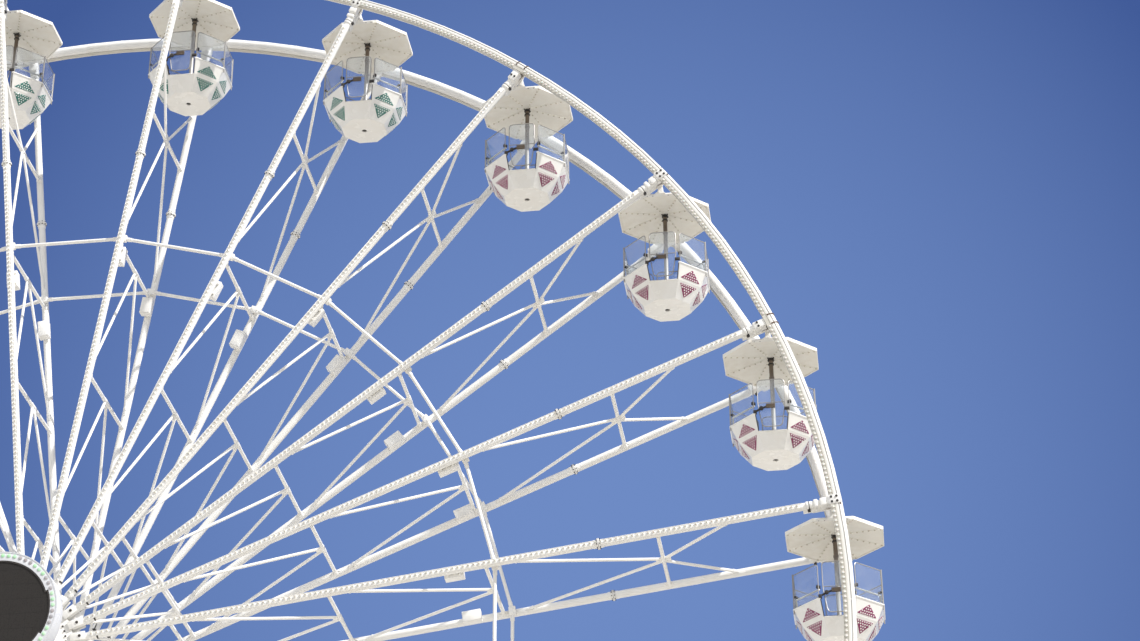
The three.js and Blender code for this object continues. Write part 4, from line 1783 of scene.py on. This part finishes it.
@dataclass
class HubDisplay:
    """The round display in front of the hub: a lamp ring around a dark stepped screen."""

    radius: float = 1.290
    front_y: float = -3.300
    face_y: float = -3.272
    back_y: float = -2.900
    axle_y: float = -2.5006
    screen_radius: float = 1.100
    step_radius: float = 1.150
    step_half: float = radians(24.4)
    step_turn: float = radians(-4.0)
    # Width of the black band round the screen: partly a black edge, partly painted shadow inside the ring
    lining: float = 0.032
    lamp_radius: float = 1.207
    lamp_count: int = 60

    def outline(self, margin: float) -> list:
        """Outline of the screen: a circle with three sectors that step outwards.

        Args:
            margin: How far the outline is drawn in.

        Returns:
            Its points, counter-clockwise.
        """
        outer, inner = self.step_radius - margin, self.screen_radius - margin
        wide, narrow = self.step_half - margin / outer, self.step_half - margin / inner
        third = 2 * pi / 3
        points = []
        for start in (self.step_turn, self.step_turn + third, self.step_turn + 2 * third):
            arcs = ((outer, start - wide, 2 * wide, 12), (inner, start + narrow, third - 2 * narrow, 16))
            for radius, first, span, steps in arcs:
                points += [polar(radius, first + span * k / steps) for k in range(steps + 1)]
        return points

    def slab(self, margin: float, back: float, front: float) -> Piece:
        """A body with the screen's outline between two depths."""
        return placed(plate(self.outline(margin), back - front), upright(back))

    def ring(self) -> Piece:
        """The white ring with its stepped opening, its raised edge, its back struts and its boss.

        Returns:
            The ring.
        """
        radius, front, back = self.radius, self.front_y, self.back_y
        body = disc((0, (back + front) / 2, 0), REAR, radius, back - front, 120, 0.006)
        cut(body, self.slab(0, self.face_y + 0.004, front - 0.05))
        parts = [body, hoop(radius - 0.022, radius + 0.002, front - 0.006, front + 0.02, 120)]
        parts.append(disc((0, (back + self.axle_y) / 2, 0), REAR, 0.328, 0.398, 48, 0.01))
        parts += [hoop(inner, inner + 0.03, back - 0.01, back + 0.045, 96) for inner in (1.05, 0.62)]
        strut = block((0.30, back - 0.01, -0.02), (radius - 0.03, back + 0.06, 0.02), 0.004)
        return joined([*parts, around_axis(strut, 8)], "hub_display_ring")

    def lamps(self, name: str, tinted: bool) -> Piece:
        """Every second group of three lamps of the ring.

        Args:
            name: Name of the lamps.
            tinted: Whether the groups are those with the tinted lenses.

        Returns:
            The lamps as one piece.
        """
        model = placed(
            stub((0.043, 0.041, 0.022), (0, 0.010, 0.017), 12),
            facing((self.lamp_radius, self.front_y + 0.001, 0), FRONT),
        )
        step = 2 * pi / self.lamp_count
        places = [turned(-(k + 0.5) * step) for k in range(self.lamp_count) if (k % 6 < 3) == tinted]
        copies = [copied(model, matrix=place) for place in places]
        discard(model)
        return joined(copies, name, 50)

    def build(self, shop: Workshop) -> None:
        """Model the display around the hub's centre and lift it to its height.

        Args:
            shop: Where the finished pieces go.
        """
        screen = self.slab(self.lining - 0.002, self.face_y + 0.004, self.face_y - 0.010)
        # Black lining over the recess round the screen: partly a black edge, partly painted shadow of the
        # ring's inner wall
        lining = cut(
            self.slab(0.001, self.face_y + 0.003, self.front_y + 0.004),
            self.slab(self.lining, self.face_y + 0.05, self.front_y - 0.05),
        )
        screen.name, lining.name = "hub_display_screen", "hub_display_lining_painted_shadow"
        for piece, slot, finish in (
            (self.ring(), Slot.WHITE_PAINT, DISPLAY_RING), (screen, Slot.DARK_SCREEN, None),
            (lining, Slot.BLACK_FITTING, None),
            (self.lamps("hub_display_lamps_grey", False), Slot.LAMP_CAPS, GREY_LENSES),
            (self.lamps("hub_display_lamps_mint", True), Slot.LAMP_CAPS, MINT_LENSES),
        ):
            nodes = ("hub_display",) if finish is DISPLAY_RING else ()
            shop.hand_over(placed(piece, AT_HUB), slot, "support", *nodes, finish=finish)


# Supports, base, deck and stairs


def on_four_sides(parts: Sequence[Piece]) -> list:
    """The parts and their copies, turned about Z by one, two and three quarters."""
    return [*parts, *(copied(part, matrix=turned(k * QUARTER, "Z")) for part in parts for k in (1, 2, 3))]


@dataclass
class Support:
    """One A-frame: two tapered box legs, two ties, the bearing head and the bolted feet.

    Lengths along Y are given for the rear support and mirrored for the front one.
    """

    side: int
    foot: tuple = (8.50, 5.50, 0.690)
    head: tuple = (0.21, 2.25, HUB_HEIGHT)
    foot_half: float = 0.300
    head_half: float = 0.210
    tie_heights: tuple = (7.0, 14.0)
    buried: float = 0.16
    bolt_size: tuple = (0.020, 0.018)
    ladder_low: float = 1.2
    ladder_high: float = 21.4
    ladder_leg: float = 22.35

    def half_at(self, share: float) -> float:
        """Half the width of a leg at a share of its length."""
        return self.foot_half + (self.head_half - self.foot_half) * share

    def leg(self) -> tuple:
        """One leg standing on the XY plane.

        Returns:
            Its steel and its bolts.
        """
        length = (Vector(self.head) - Vector(self.foot)).length
        profile = [(self.foot_half * sqrt(2), 0), (self.head_half * sqrt(2), length)]
        column = bevelled(grown(4, profile, EIGHTH), 0.02)
        lifted(column, lambda p: p.z < 0.1, -self.buried)
        flanges, bolts = [], []
        for share in (0.25, 0.5, 0.75):
            z, half = share * length, self.half_at(share)
            edge = half + 0.062
            for low in (z - 0.047, z + 0.003):
                flanges.append(block((-edge, -edge, low), (edge, edge, low + 0.044), 0.005))
            for k in range(4):
                x, y = (k - 1.5) * half * 0.6, half + 0.032
                bolts.append(bolt(*self.bolt_size, (x, y, z + 0.047)))
                bolts.append(bolt(*self.bolt_size, (x, y, z - 0.047), DOWN))
        ribs = []
        for offset in (-0.16, 0.16):
            rib = plate([(0, 0), (0.11, 0), (0.11, 0.06), (0, 0.52)], 0.018, 0.003)
            ribs.append(placed(rib, upright(offset + 0.009, self.foot_half - 0.006, 0.10)))
        steel = joined([column, *flanges, *on_four_sides(ribs)], "leg")
        return steel, joined(on_four_sides(bolts), "leg_bolts")

    def foot_block(self) -> tuple:
        """The pedestal between the base beam and a leg.

        Returns:
            Its steel and its bolts.
        """
        parts = [
            block((-0.445, -0.445, 0.401), (0.445, 0.445, 0.441), 0.006),
            block((-0.33, -0.33, 0.43), (0.33, 0.33, 0.67), 0.010),
            block((-0.41, -0.41, 0.660), (0.41, 0.41, 0.699), 0.006),
        ]
        ribs = [block((0.32, y - 0.010, 0.43), (0.405, y + 0.010, 0.67), 0.002) for y in (-0.2, 0.0, 0.2)]
        bolts = [bolt(0.026, 0.024, (0.405, y, 0.441)) for y in (-0.31, -0.1, 0.1, 0.31)]
        steel = joined([*parts, *on_four_sides(ribs)], "foot_block")
        return steel, joined(on_four_sides(bolts), "foot_bolts")

    def bearing_head(self) -> tuple:
        """The box that holds the axle, with its face plates and ribs.

        Returns:
            Its steel and its bolts.
        """
        near, far = 2.003, 2.497
        low_y, high_y = near + 0.02, far - 0.02
        parts = [block((-0.40, low_y, -0.40), (0.40, high_y, 0.40), 0.012)]
        outline = symmetric([(0.34, -0.447), (0.447, -0.34), (0.447, 0.34), (0.34, 0.447)])
        parts += [placed(plate(outline, 0.03, 0.004), upright(y)) for y in (near + 0.03, far)]
        for at in (-0.2, 0.0, 0.2):
            for hand in SIDES:
                inner, outer = hand * 0.39, hand * 0.435
                parts.append(block((inner, low_y, at - 0.012), (outer, high_y, at + 0.012)))
                parts.append(block((at - 0.012, low_y, inner), (at + 0.012, high_y, outer)))
        steel = cut(joined(parts, "bearing_head"), tube((0, 1.9, 0), (0, 2.6, 0), 0.199, 40))
        bolts = bolt_circle(16, 0.385, far, 1, 0.020)
        return placed(joined([steel], "bearing_head"), AT_HUB), placed(bolts, AT_HUB)

    def tie(self, height: float) -> tuple:
        """A cross tie between the legs, with end plates and a middle joint.

        Args:
            height: Height of its middle.

        Returns:
            Its parts and their bolts.
        """
        share = (height - self.foot[2]) / (self.head[2] - self.foot[2])
        x, y, _ = Vector(self.foot).lerp(Vector(self.head), share)
        reach = x - self.half_at(share) * 0.9
        end, edge = reach + 0.2, reach - 0.14
        beam = block((-end, y - 0.147, height - 0.147), (end, y + 0.147, height + 0.147), 0.012)
        plates = [
            block((0.002, y - 0.20, height - 0.20), (0.042, y + 0.20, height + 0.20), 0.005),
            block((edge - 0.03, y - 0.20, height - 0.21), (edge, y + 0.20, height + 0.21), 0.005),
        ]
        bolts = []
        for a, b in CORNERS:
            bolts.append(bolt(*self.bolt_size, (edge - 0.03, y + a * 0.172, height + b * 0.178), (-1, 0, 0)))
            bolts.append(bolt(*self.bolt_size, (0.042, y + a * 0.172, height + b * 0.172), RIGHT))
        return [beam, *both_sides(plates, 0)], both_sides(bolts, 0)

    def ladder(self) -> Piece:
        """The service ladder up the outer face of one leg, in the leg's own frame.

        Returns:
            The ladder.
        """
        low, high = self.ladder_low, self.ladder_high
        low_half, high_half = self.half_at(low / self.ladder_leg), self.half_at(high / self.ladder_leg)
        slope = (high_half - low_half) / (high - low)
        first = self.half_at((low + 0.1) / self.ladder_leg) + 0.13
        rung = tube((-0.19, first, low + 0.1), (0.19, first, low + 0.1), 0.012, 8)
        parts = [rows(rung, 68, (0, slope * 0.3, 0.3))]
        for x in (-0.19, 0.19):
            parts.append(tube((x, low_half + 0.13, low), (x, high_half + 0.13, high), 0.018, 8))
            bracket = block((x - 0.012, first - 0.20, low + 0.5), (x + 0.012, first + 0.01, low + 0.53))
            parts.append(rows(bracket, 9, (0, slope * 2.4, 2.4)))
        return joined(parts, "ladder")

    def build(self, shop: Workshop) -> None:
        """Model the rear support and mirror it if this is the front one.

        Args:
            shop: Where the finished pieces go.
        """
        label = "rear_support" if self.side > 0 else "front_support"
        leg, leg_bolts = self.leg()
        foot, foot_bolts = self.foot_block()
        head, head_bolts = self.bearing_head()
        steel, bolts = [head], [head_bolts]
        for hand in SIDES:
            place = along((hand * self.foot[0], *self.foot[1:]), (hand * self.head[0], *self.head[1:]))
            stand = moved(hand * self.foot[0], self.foot[1], 0)
            steel += [copied(leg, matrix=place), copied(foot, matrix=stand)]
            bolts += [copied(leg_bolts, matrix=place), copied(foot_bolts, matrix=stand)]
        discard(leg, leg_bolts, foot, foot_bolts)
        for height in self.tie_heights:
            parts, fixings = self.tie(height)
            steel += parts
            bolts += fixings
        flip = Matrix.Diagonal((1, self.side, 1, 1))
        shop.hand_over(placed(joined(steel, f"{label}_steel"), flip), Slot.WHITE_PAINT, "support", label)
        shop.hand_over(placed(joined(bolts, f"{label}_bolts"), flip), Slot.BARE_STEEL, "support")
        if self.side > 0:
            # The right leg, whose place was the last one, carries the ladder
            ladder = placed(self.ladder(), place)
            ladder.name = f"{label}_ladder"
            shop.hand_over(ladder, Slot.BARE_STEEL, "support")


@dataclass
class BaseFrame:
    """The ground beams: two long ones under the feet, two cross beams, and their pads."""

    half_width: float = 0.200
    low: float = 0.080
    high: float = 0.400
    flange: float = 0.026
    web_half: float = 0.011
    foot_x: float = 8.50
    long_half: float = 5.90
    foot_y: float = 5.50
    cross_y: float = 2.40
    sleeper_x: float = 3.20
    long_stiffeners: tuple = (-5.8, -5.2, -4.0, -2.6, -2.2, 0, 2.2, 2.6, 4.0, 5.2, 5.8)
    cross_stiffeners: tuple = (-7.0, -5.2, -3.35, -3.05, -1.6, 0, 1.6, 3.05, 3.35, 5.2, 7.0)

    def beam(self, length: float, stiffeners: tuple) -> list:
        """A rolled H beam along X, centred on the origin, at its height.

        Args:
            length: Its length.
            stiffeners: Where upright plates stand on both sides of its web.

        Returns:
            Its parts.
        """
        half, web, flange = self.half_width, self.web_half, self.flange
        top = self.high - self.low
        outline = symmetric([
            (half, 0), (half, flange), (web, flange), (web, top - flange), (half, top - flange), (half, top),
        ])
        parts = [placed(plate(outline, length, 0.004), basis(REAR, UP, (-length / 2, 0, self.low)))]
        foot, head = self.low + flange - 0.002, self.high - flange + 0.002
        for x in stiffeners:
            for hand in SIDES:
                near, far = hand * (web - 0.002), hand * (half - 0.006)
                parts.append(block((x - 0.008, near, foot), (x + 0.008, far, head)))
        return parts

    def build(self, shop: Workshop) -> None:
        """Model the beams, their pads, joints and bolts.

        Args:
            shop: Where the finished pieces go.
        """
        parts, bolts = [], []
        end, reach = self.long_half, self.foot_x - self.half_width + 0.15
        caps = [block((x, -0.2, self.low), (x + 0.02, 0.2, self.high)) for x in (-end, end - 0.02)]
        long_beam = joined([*self.beam(2 * end, self.long_stiffeners), *caps], "long_beam")
        cross = joined(self.beam(2 * reach, self.cross_stiffeners), "cross_beam")
        for hand in SIDES:
            parts.append(copied(long_beam, matrix=moved(hand * self.foot_x) @ turned(QUARTER, "Z")))
            parts.append(copied(cross, matrix=moved(y=hand * self.cross_y)))
            for x in (-5.2, 0.0, 5.2):
                parts.append(self.splice(x, hand * self.cross_y, bolts))
        discard(long_beam, cross)
        for a, b in CORNERS:
            parts += self.pad(a * self.foot_x, b * self.foot_y, bolts)
            x, y = a * self.sleeper_x, b * self.cross_y
            parts.append(block((x - 0.19, y - 0.19, 0.002), (x + 0.19, y + 0.19, self.low + 0.004), 0.006))
        shop.hand_over(joined(parts, "base_frame_steel"), Slot.BASE_PAINT, "support", "base_frame")
        shop.hand_over(joined(bolts, "base_frame_bolts"), Slot.BARE_STEEL, "support")

    def pad(self, x: float, y: float, bolts: list) -> list:
        """A ground pad of two plates with corner bolts and ribs.

        Args:
            x: X of its middle.
            y: Y of its middle.
            bolts: The list that its bolts go into.

        Returns:
            Its parts.
        """
        parts = [
            block((x - 0.545, y - 0.545, 0.001), (x + 0.545, y + 0.545, 0.044), 0.008),
            block((x - 0.535, y - 0.535, 0.046), (x + 0.535, y + 0.535, self.low), 0.008),
        ]
        for a, b in CORNERS:
            bolts.append(bolt(0.030, 0.028, (x + a * 0.45, y + b * 0.45, self.low)))
            middle = y + b * 0.35
            low = (x + a * 0.19, middle - 0.012, self.low - 0.004)
            parts.append(block(low, (x + a * 0.50, middle + 0.012, self.low + 0.07), 0.003))
        return parts

    def splice(self, x: float, y: float, bolts: list) -> Piece:
        """A bolted joint plate on top of a cross beam.

        Args:
            x: X of its middle.
            y: Y of its middle.
            bolts: The list that its bolts go into.

        Returns:
            The plate.
        """
        top = self.high + 0.010
        for a in (-0.24, -0.12, 0.12, 0.24):
            for b in (-0.13, 0.13):
                bolts.append(bolt(0.020, 0.016, (x + a, y + b, top)))
        return block((x - 0.32, y - 0.18, self.high - 0.002), (x + 0.32, y + 0.18, top), 0.003)


@dataclass
class Railing:
    """Posts, rails and balusters of the boarding deck."""

    height: float = 1.100
    radius: float = 0.023

    def run(self, start: Point, end: Point, posts: int, foot: float) -> list:
        """A straight level railing.

        Args:
            start: X and Y of its first post.
            end: X and Y of its last post.
            posts: Number of its posts.
            foot: Height of the deck.

        Returns:
            Its parts.
        """
        first, last = Vector((*start, foot)), Vector((*end, foot))
        way = last - first
        top, low = Vector((0, 0, self.height - self.radius)), Vector((0, 0, 0.12))
        knee = Vector((0, 0, self.height / 2 - self.radius))
        parts = []
        for lift, radius, sides in ((top, self.radius, 12), (knee, 0.016, 10), (low, 0.012, 8)):
            parts.append(tube(first + lift, last + lift, radius, sides))
        for k in range(posts):
            spot = first + way * (k / (posts - 1))
            parts.append(tube(spot, spot + top, self.radius, 12))
            parts.append(disc(spot + Vector((0, 0, 0.006)), UP, 0.052, 0.012, 16, 0.003))
        count = int(way.length / 0.125)
        step = way / count
        bar = tube(first + step + low, first + step + top, 0.008, 6)
        return [*parts, rows(bar, count - 1, tuple(step))]


@dataclass
class Platform:
    """The boarding deck: plates on a frame of channels and joists, posts and railings."""

    top: float = 1.650
    half_x: float = 3.80
    half_y: float = 3.00
    post_x: float = 3.20
    post_y: float = 2.40
    post_half: float = 0.068
    plates: tuple = (4, 3)
    side_gate: float = 1.50
    lane_half: float = 1.46
    board_height: float = 0.10
    beam_top: float = 0.401

    def build(self, shop: Workshop) -> None:
        """Model the deck, its frame and its railings.

        Args:
            shop: Where the finished pieces go.
        """
        walk = joined(self.walkway(), "boarding_platform_deck")
        shop.hand_over(walk, Slot.DECK_STEEL, "support", "boarding_platform")
        shop.hand_over(joined(self.frame_parts(), "boarding_platform_frame"), Slot.BASE_PAINT, "support")
        shop.hand_over(joined(self.railings(), "boarding_platform_railings"), Slot.BARE_STEEL, "support")

    def walkway(self) -> list:
        """The walking plates with narrow joints, and the toe boards.

        Returns:
            Their parts.
        """
        parts = []
        top, board_top = self.top, self.top + self.board_height
        wide, deep = 2 * self.half_x / self.plates[0], 2 * self.half_y / self.plates[1]
        for i in range(self.plates[0]):
            for k in range(self.plates[1]):
                x, y = -self.half_x + i * wide, -self.half_y + k * deep
                high = (x + wide - 0.003, y + deep - 0.003, top)
                parts.append(block((x + 0.003, y + 0.003, top - 0.010), high, 0.002, 1))
        edge_x, edge_y = self.half_x - 0.03, self.half_y - 0.03
        parts.append(block((-edge_x, edge_y - 0.006, top), (edge_x, edge_y, board_top)))
        for hand in SIDES:
            low = (hand * self.lane_half, -edge_y, top)
            parts.append(block(low, (hand * edge_x, -edge_y + 0.006, board_top)))
        for hand, side in CORNERS:
            low = (hand * (edge_x - 0.006), side * self.side_gate, top)
            parts.append(block(low, (hand * edge_x, side * edge_y, board_top)))
        return parts

    def frame_parts(self) -> list:
        """Edge channels, joists, main beams, posts and knee braces.

        Returns:
            Their parts.
        """
        foot, under, half = self.top - 0.098, self.top - 0.010, self.post_half
        beam_x, beam_y, beam_low = self.half_x - 0.05, self.post_y, self.top - 0.21
        edge_x, edge_y = self.half_x - 0.004, self.half_y - 0.056
        low_foot, low_head, post_head = self.beam_top, self.beam_top + 0.018, self.top - 0.20
        parts = []
        for hand in SIDES:
            y, x = hand * (self.half_y - 0.03), hand * (self.half_x - 0.03)
            parts.append(block((-edge_x, y - 0.026, foot), (edge_x, y + 0.026, under), 0.004))
            parts.append(block((x - 0.026, -edge_y, foot), (x + 0.026, edge_y, under), 0.004))
            y = hand * beam_y
            parts.append(block((-beam_x, y - 0.05, beam_low), (beam_x, y + 0.05, self.top - 0.09), 0.004))
        end = self.half_y - 0.05
        joist = block((-3.36, -end, self.top - 0.092), (-3.32, end, under - 0.002))
        parts.append(rows(joist, 8, (0.954, 0, 0)))
        for hand, side in CORNERS:
            x, y = hand * self.post_x, side * self.post_y
            parts.append(block((x - half, y - half, low_foot), (x + half, y + half, post_head), 0.008))
            parts.append(block((x - 0.13, y - 0.13, low_foot), (x + 0.13, y + 0.13, low_head), 0.004))
            parts.append(tube((x, y, 0.95), (x - hand * 0.46, y, post_head), 0.030, 10))
            parts.append(tube((x, y, 0.95), (x, y - side * 0.46, self.top - 0.09), 0.026, 10))
            parts += [bolt(0.016, 0.014, (x + a * 0.10, y + b * 0.10, low_head)) for a, b in CORNERS]
        return parts

    def railings(self) -> list:
        """The railings around the deck, open at the stairs and at the boarding lane.

        Returns:
            Their parts.
        """
        maker = Railing()
        edge_x, edge_y = self.half_x - 0.06, self.half_y - 0.06
        runs = [((-edge_x, edge_y), (edge_x, edge_y), 5)]
        runs += [((hand * self.lane_half, -edge_y), (hand * edge_x, -edge_y), 3) for hand in SIDES]
        for hand, side in CORNERS:
            runs.append(((hand * edge_x, side * self.side_gate), (hand * edge_x, side * edge_y), 2))
        return [part for run in runs for part in maker.run(*run, self.top)]


@dataclass
class Stairs:
    """The boarding steps: zigzag side plates, treads with dark nosings, and hand rails."""

    top: float = 1.650
    top_y: float = -3.0003
    risers: int = 9
    going: float = 0.280
    top_plate: float = 0.040
    depth: float = 0.220
    half_x: float = 1.400
    rail_height: float = 1.08

    def outline(self) -> list:
        """The side plate's outline in Y and Z.

        Returns:
            Its points, clockwise.
        """
        rise = self.top / self.risers
        points = [(self.top_y, self.top)]
        for i in range(self.risers - 1):
            y = self.top_y - i * self.going - self.top_plate
            points += [(y, self.top - i * rise), (y, self.top - (i + 1) * rise)]
        bottom = y - self.going
        points += [(bottom, rise), (bottom, 0.002), (bottom + self.depth, 0.002)]
        return [*points, (self.top_y, self.top - rise - self.depth)]

    def rails(self) -> list:
        """The hand and knee rails of both sides on three posts each.

        Returns:
            Their parts.
        """
        rise, run = self.top / self.risers, (self.risers - 1) * self.going
        parts = []
        for hand in SIDES:
            x = hand * (self.half_x - 0.05)
            upper = Vector((x, self.top_y - self.going / 2, self.top - rise))
            lower = Vector((x, self.top_y - run - self.top_plate + self.going / 2, rise))
            for share in (0.0, 0.5, 1.0):
                spot = upper.lerp(lower, share)
                foot, head = spot - Vector((0, 0, 0.02)), spot + Vector((0, 0, self.rail_height))
                parts.append(tube(foot, head, 0.023, 12))
            for height, radius in ((self.rail_height - 0.002, 0.023), (0.56, 0.016)):
                lift = Vector((0, 0, height))
                parts.append(tube(upper + lift, lower + lift, radius, 12))
        return parts

    def build(self, shop: Workshop) -> None:
        """Model the steps and their rails.

        Args:
            shop: Where the finished pieces go.
        """
        rise, half = self.top / self.risers, self.half_x - 0.026
        sides, nosings = [], []
        for x in (-self.half_x + 0.002, -0.034, self.half_x - 0.024):
            board = plate(self.outline()[::-1], 0.022, 0.002)
            sides.append(placed(board, basis(REAR, UP, (x, 0, 0))))
        treads = [block((-half, self.top_y - 0.042, self.top - 0.03), (half, self.top_y, self.top), 0.003)]
        for i in range(self.risers - 1):
            z = self.top - (i + 1) * rise
            back = self.top_y - i * self.going - self.top_plate
            front = back - self.going
            treads.append(block((-half, front - 0.004, z - 0.034), (half, back + 0.02, z + 0.002), 0.003))
            treads.append(block((-half, back - 0.002, z), (half, back + 0.006, z + rise - 0.03)))
            nosings.append(block((-half, front - 0.006, z - 0.012), (half, front + 0.045, z + 0.006), 0.002))
        treads.append(block((-half, front + 0.002, 0.004), (half, front + 0.010, rise - 0.03)))
        for parts, name, slot, *nodes in (
            (sides, "sides", Slot.BASE_PAINT, "boarding_stairs"), (treads, "treads", Slot.DECK_STEEL),
            (nosings, "nosings", Slot.BLACK_FITTING), (self.rails(), "rails", Slot.BARE_STEEL),
        ):
            shop.hand_over(joined(parts, f"boarding_stairs_{name}"), slot, "support", *nodes)


# Studio


@dataclass
class Studio:
    """The floor, the sky, the sun and the camera."""

    camera_place: tuple = (17.552, -50.473, 0.387)
    right: tuple = (0.99180, 0.12764, -0.00661)
    up: tuple = (0.06799, -0.48306, 0.87295)
    forward: tuple = (-0.10823, 0.86623, 0.48778)
    lens: float = 83.5
    floor_radius: float = 200.0
    sun_azimuth: float = -25.0
    sun_elevation: float = 45.0
    sun_energy: float = 4.8
    sun_width: float = 0.6
    bright_spot: tuple = (-0.10225, 0.90462, 0.41379)

    def floor(self) -> None:
        """A pale round floor that lights the undersides."""
        bpy.ops.mesh.primitive_circle_add(vertices=96, radius=self.floor_radius, fill_type="NGON")
        obj = settled()
        obj.name = "studio_floor"
        shader = Shader("studio floor")
        colour = shader.mix(shader.noise(0.4, 4), (0.58, 0.545, 0.47), (0.53, 0.50, 0.43))
        shader.surface(Base_Color=colour, Roughness=0.9)
        obj.data.materials.append(shader.material)

    def sky(self) -> None:
        """A blue sky behind the wheel, lightest low in the middle, and a paler one in front of it."""
        world = bpy.data.worlds.new("sky")
        world.use_nodes = True
        nodes = Nodes(world.node_tree)
        place = nodes.node("TexCoord").outputs["Generated"]
        nearness = nodes.node("VectorMath")
        nearness.operation = "DOT_PRODUCT"
        nodes.feed(nearness.inputs[0], place)
        nodes.feed(nearness.inputs[1], self.bright_spot)
        glow = nodes.band(nearness.outputs["Value"], 0.961, 1.0)
        blue = nodes.mix(glow, (0.0545, 0.107, 0.319), (0.156, 0.258, 0.558))
        height = nodes.split(place, 2)
        haze = nodes.mix(nodes.band(height, 0.0, 0.30, 1, 0), blue, (0.36, 0.46, 0.66))
        pale = nodes.mix(nodes.band(height, 0.12, 0.50), (0.40, 0.45, 0.54), (0.98, 0.98, 1.0))
        colour = nodes.mix(nodes.band(nodes.split(place, 1), -0.25, 0.30), pale, haze)
        surround = nodes.node("Background", Color=colour)
        nodes.node("OutputWorld", Surface=surround.outputs[0])
        bpy.context.scene.world = world

    def sun(self) -> None:
        """The sun, high on the right and a little in front of the wheel."""
        bpy.ops.object.light_add(type="SUN", location=(30, -12, 40))
        key = bpy.context.object
        key.data.energy = self.sun_energy
        key.data.angle = radians(self.sun_width)
        key.data.color = (1.0, 0.98, 0.95)
        flat, height = polar(1, radians(self.sun_elevation))
        towards = Vector((*polar(flat, radians(self.sun_azimuth)), height))
        key.rotation_euler = towards.to_track_quat("Z", "Y").to_euler()

    def camera(self) -> None:
        """The camera at the photograph's viewing angle."""
        data = bpy.data.cameras.new("camera")
        data.sensor_width = 36
        data.lens = self.lens
        data.clip_end = 500
        camera = bpy.data.objects.new("camera", data)
        matrix = Matrix((self.right, self.up, -Vector(self.forward))).transposed().to_4x4()
        matrix.translation = Vector(self.camera_place)
        camera.matrix_world = matrix
        bpy.context.scene.collection.objects.link(camera)
        bpy.context.scene.camera = camera

    def build(self) -> None:
        """Set up the whole studio."""
        view = bpy.context.scene.view_settings
        view.view_transform = "Standard"
        view.look = "None"
        self.camera()
        self.floor()
        self.sky()
        self.sun()


def main() -> None:
    """Build and dress every piece of the wheel."""
    logging.basicConfig(level=logging.INFO, format="%(name)s: %(message)s")
    Studio().build()
    shop = Workshop()
    for maker in (
        Hub(), Axle(), HubDisplay(), MidRing(), Rim(), Support(-1), Support(1), BaseFrame(), Platform(),
        Stairs(), SpokeFrame(), Gondola(),
    ):
        maker.build(shop)
    LOG.info("%d pieces, %d triangles", shop.pieces, shop.triangles)


if __name__ == "__main__":
    main()
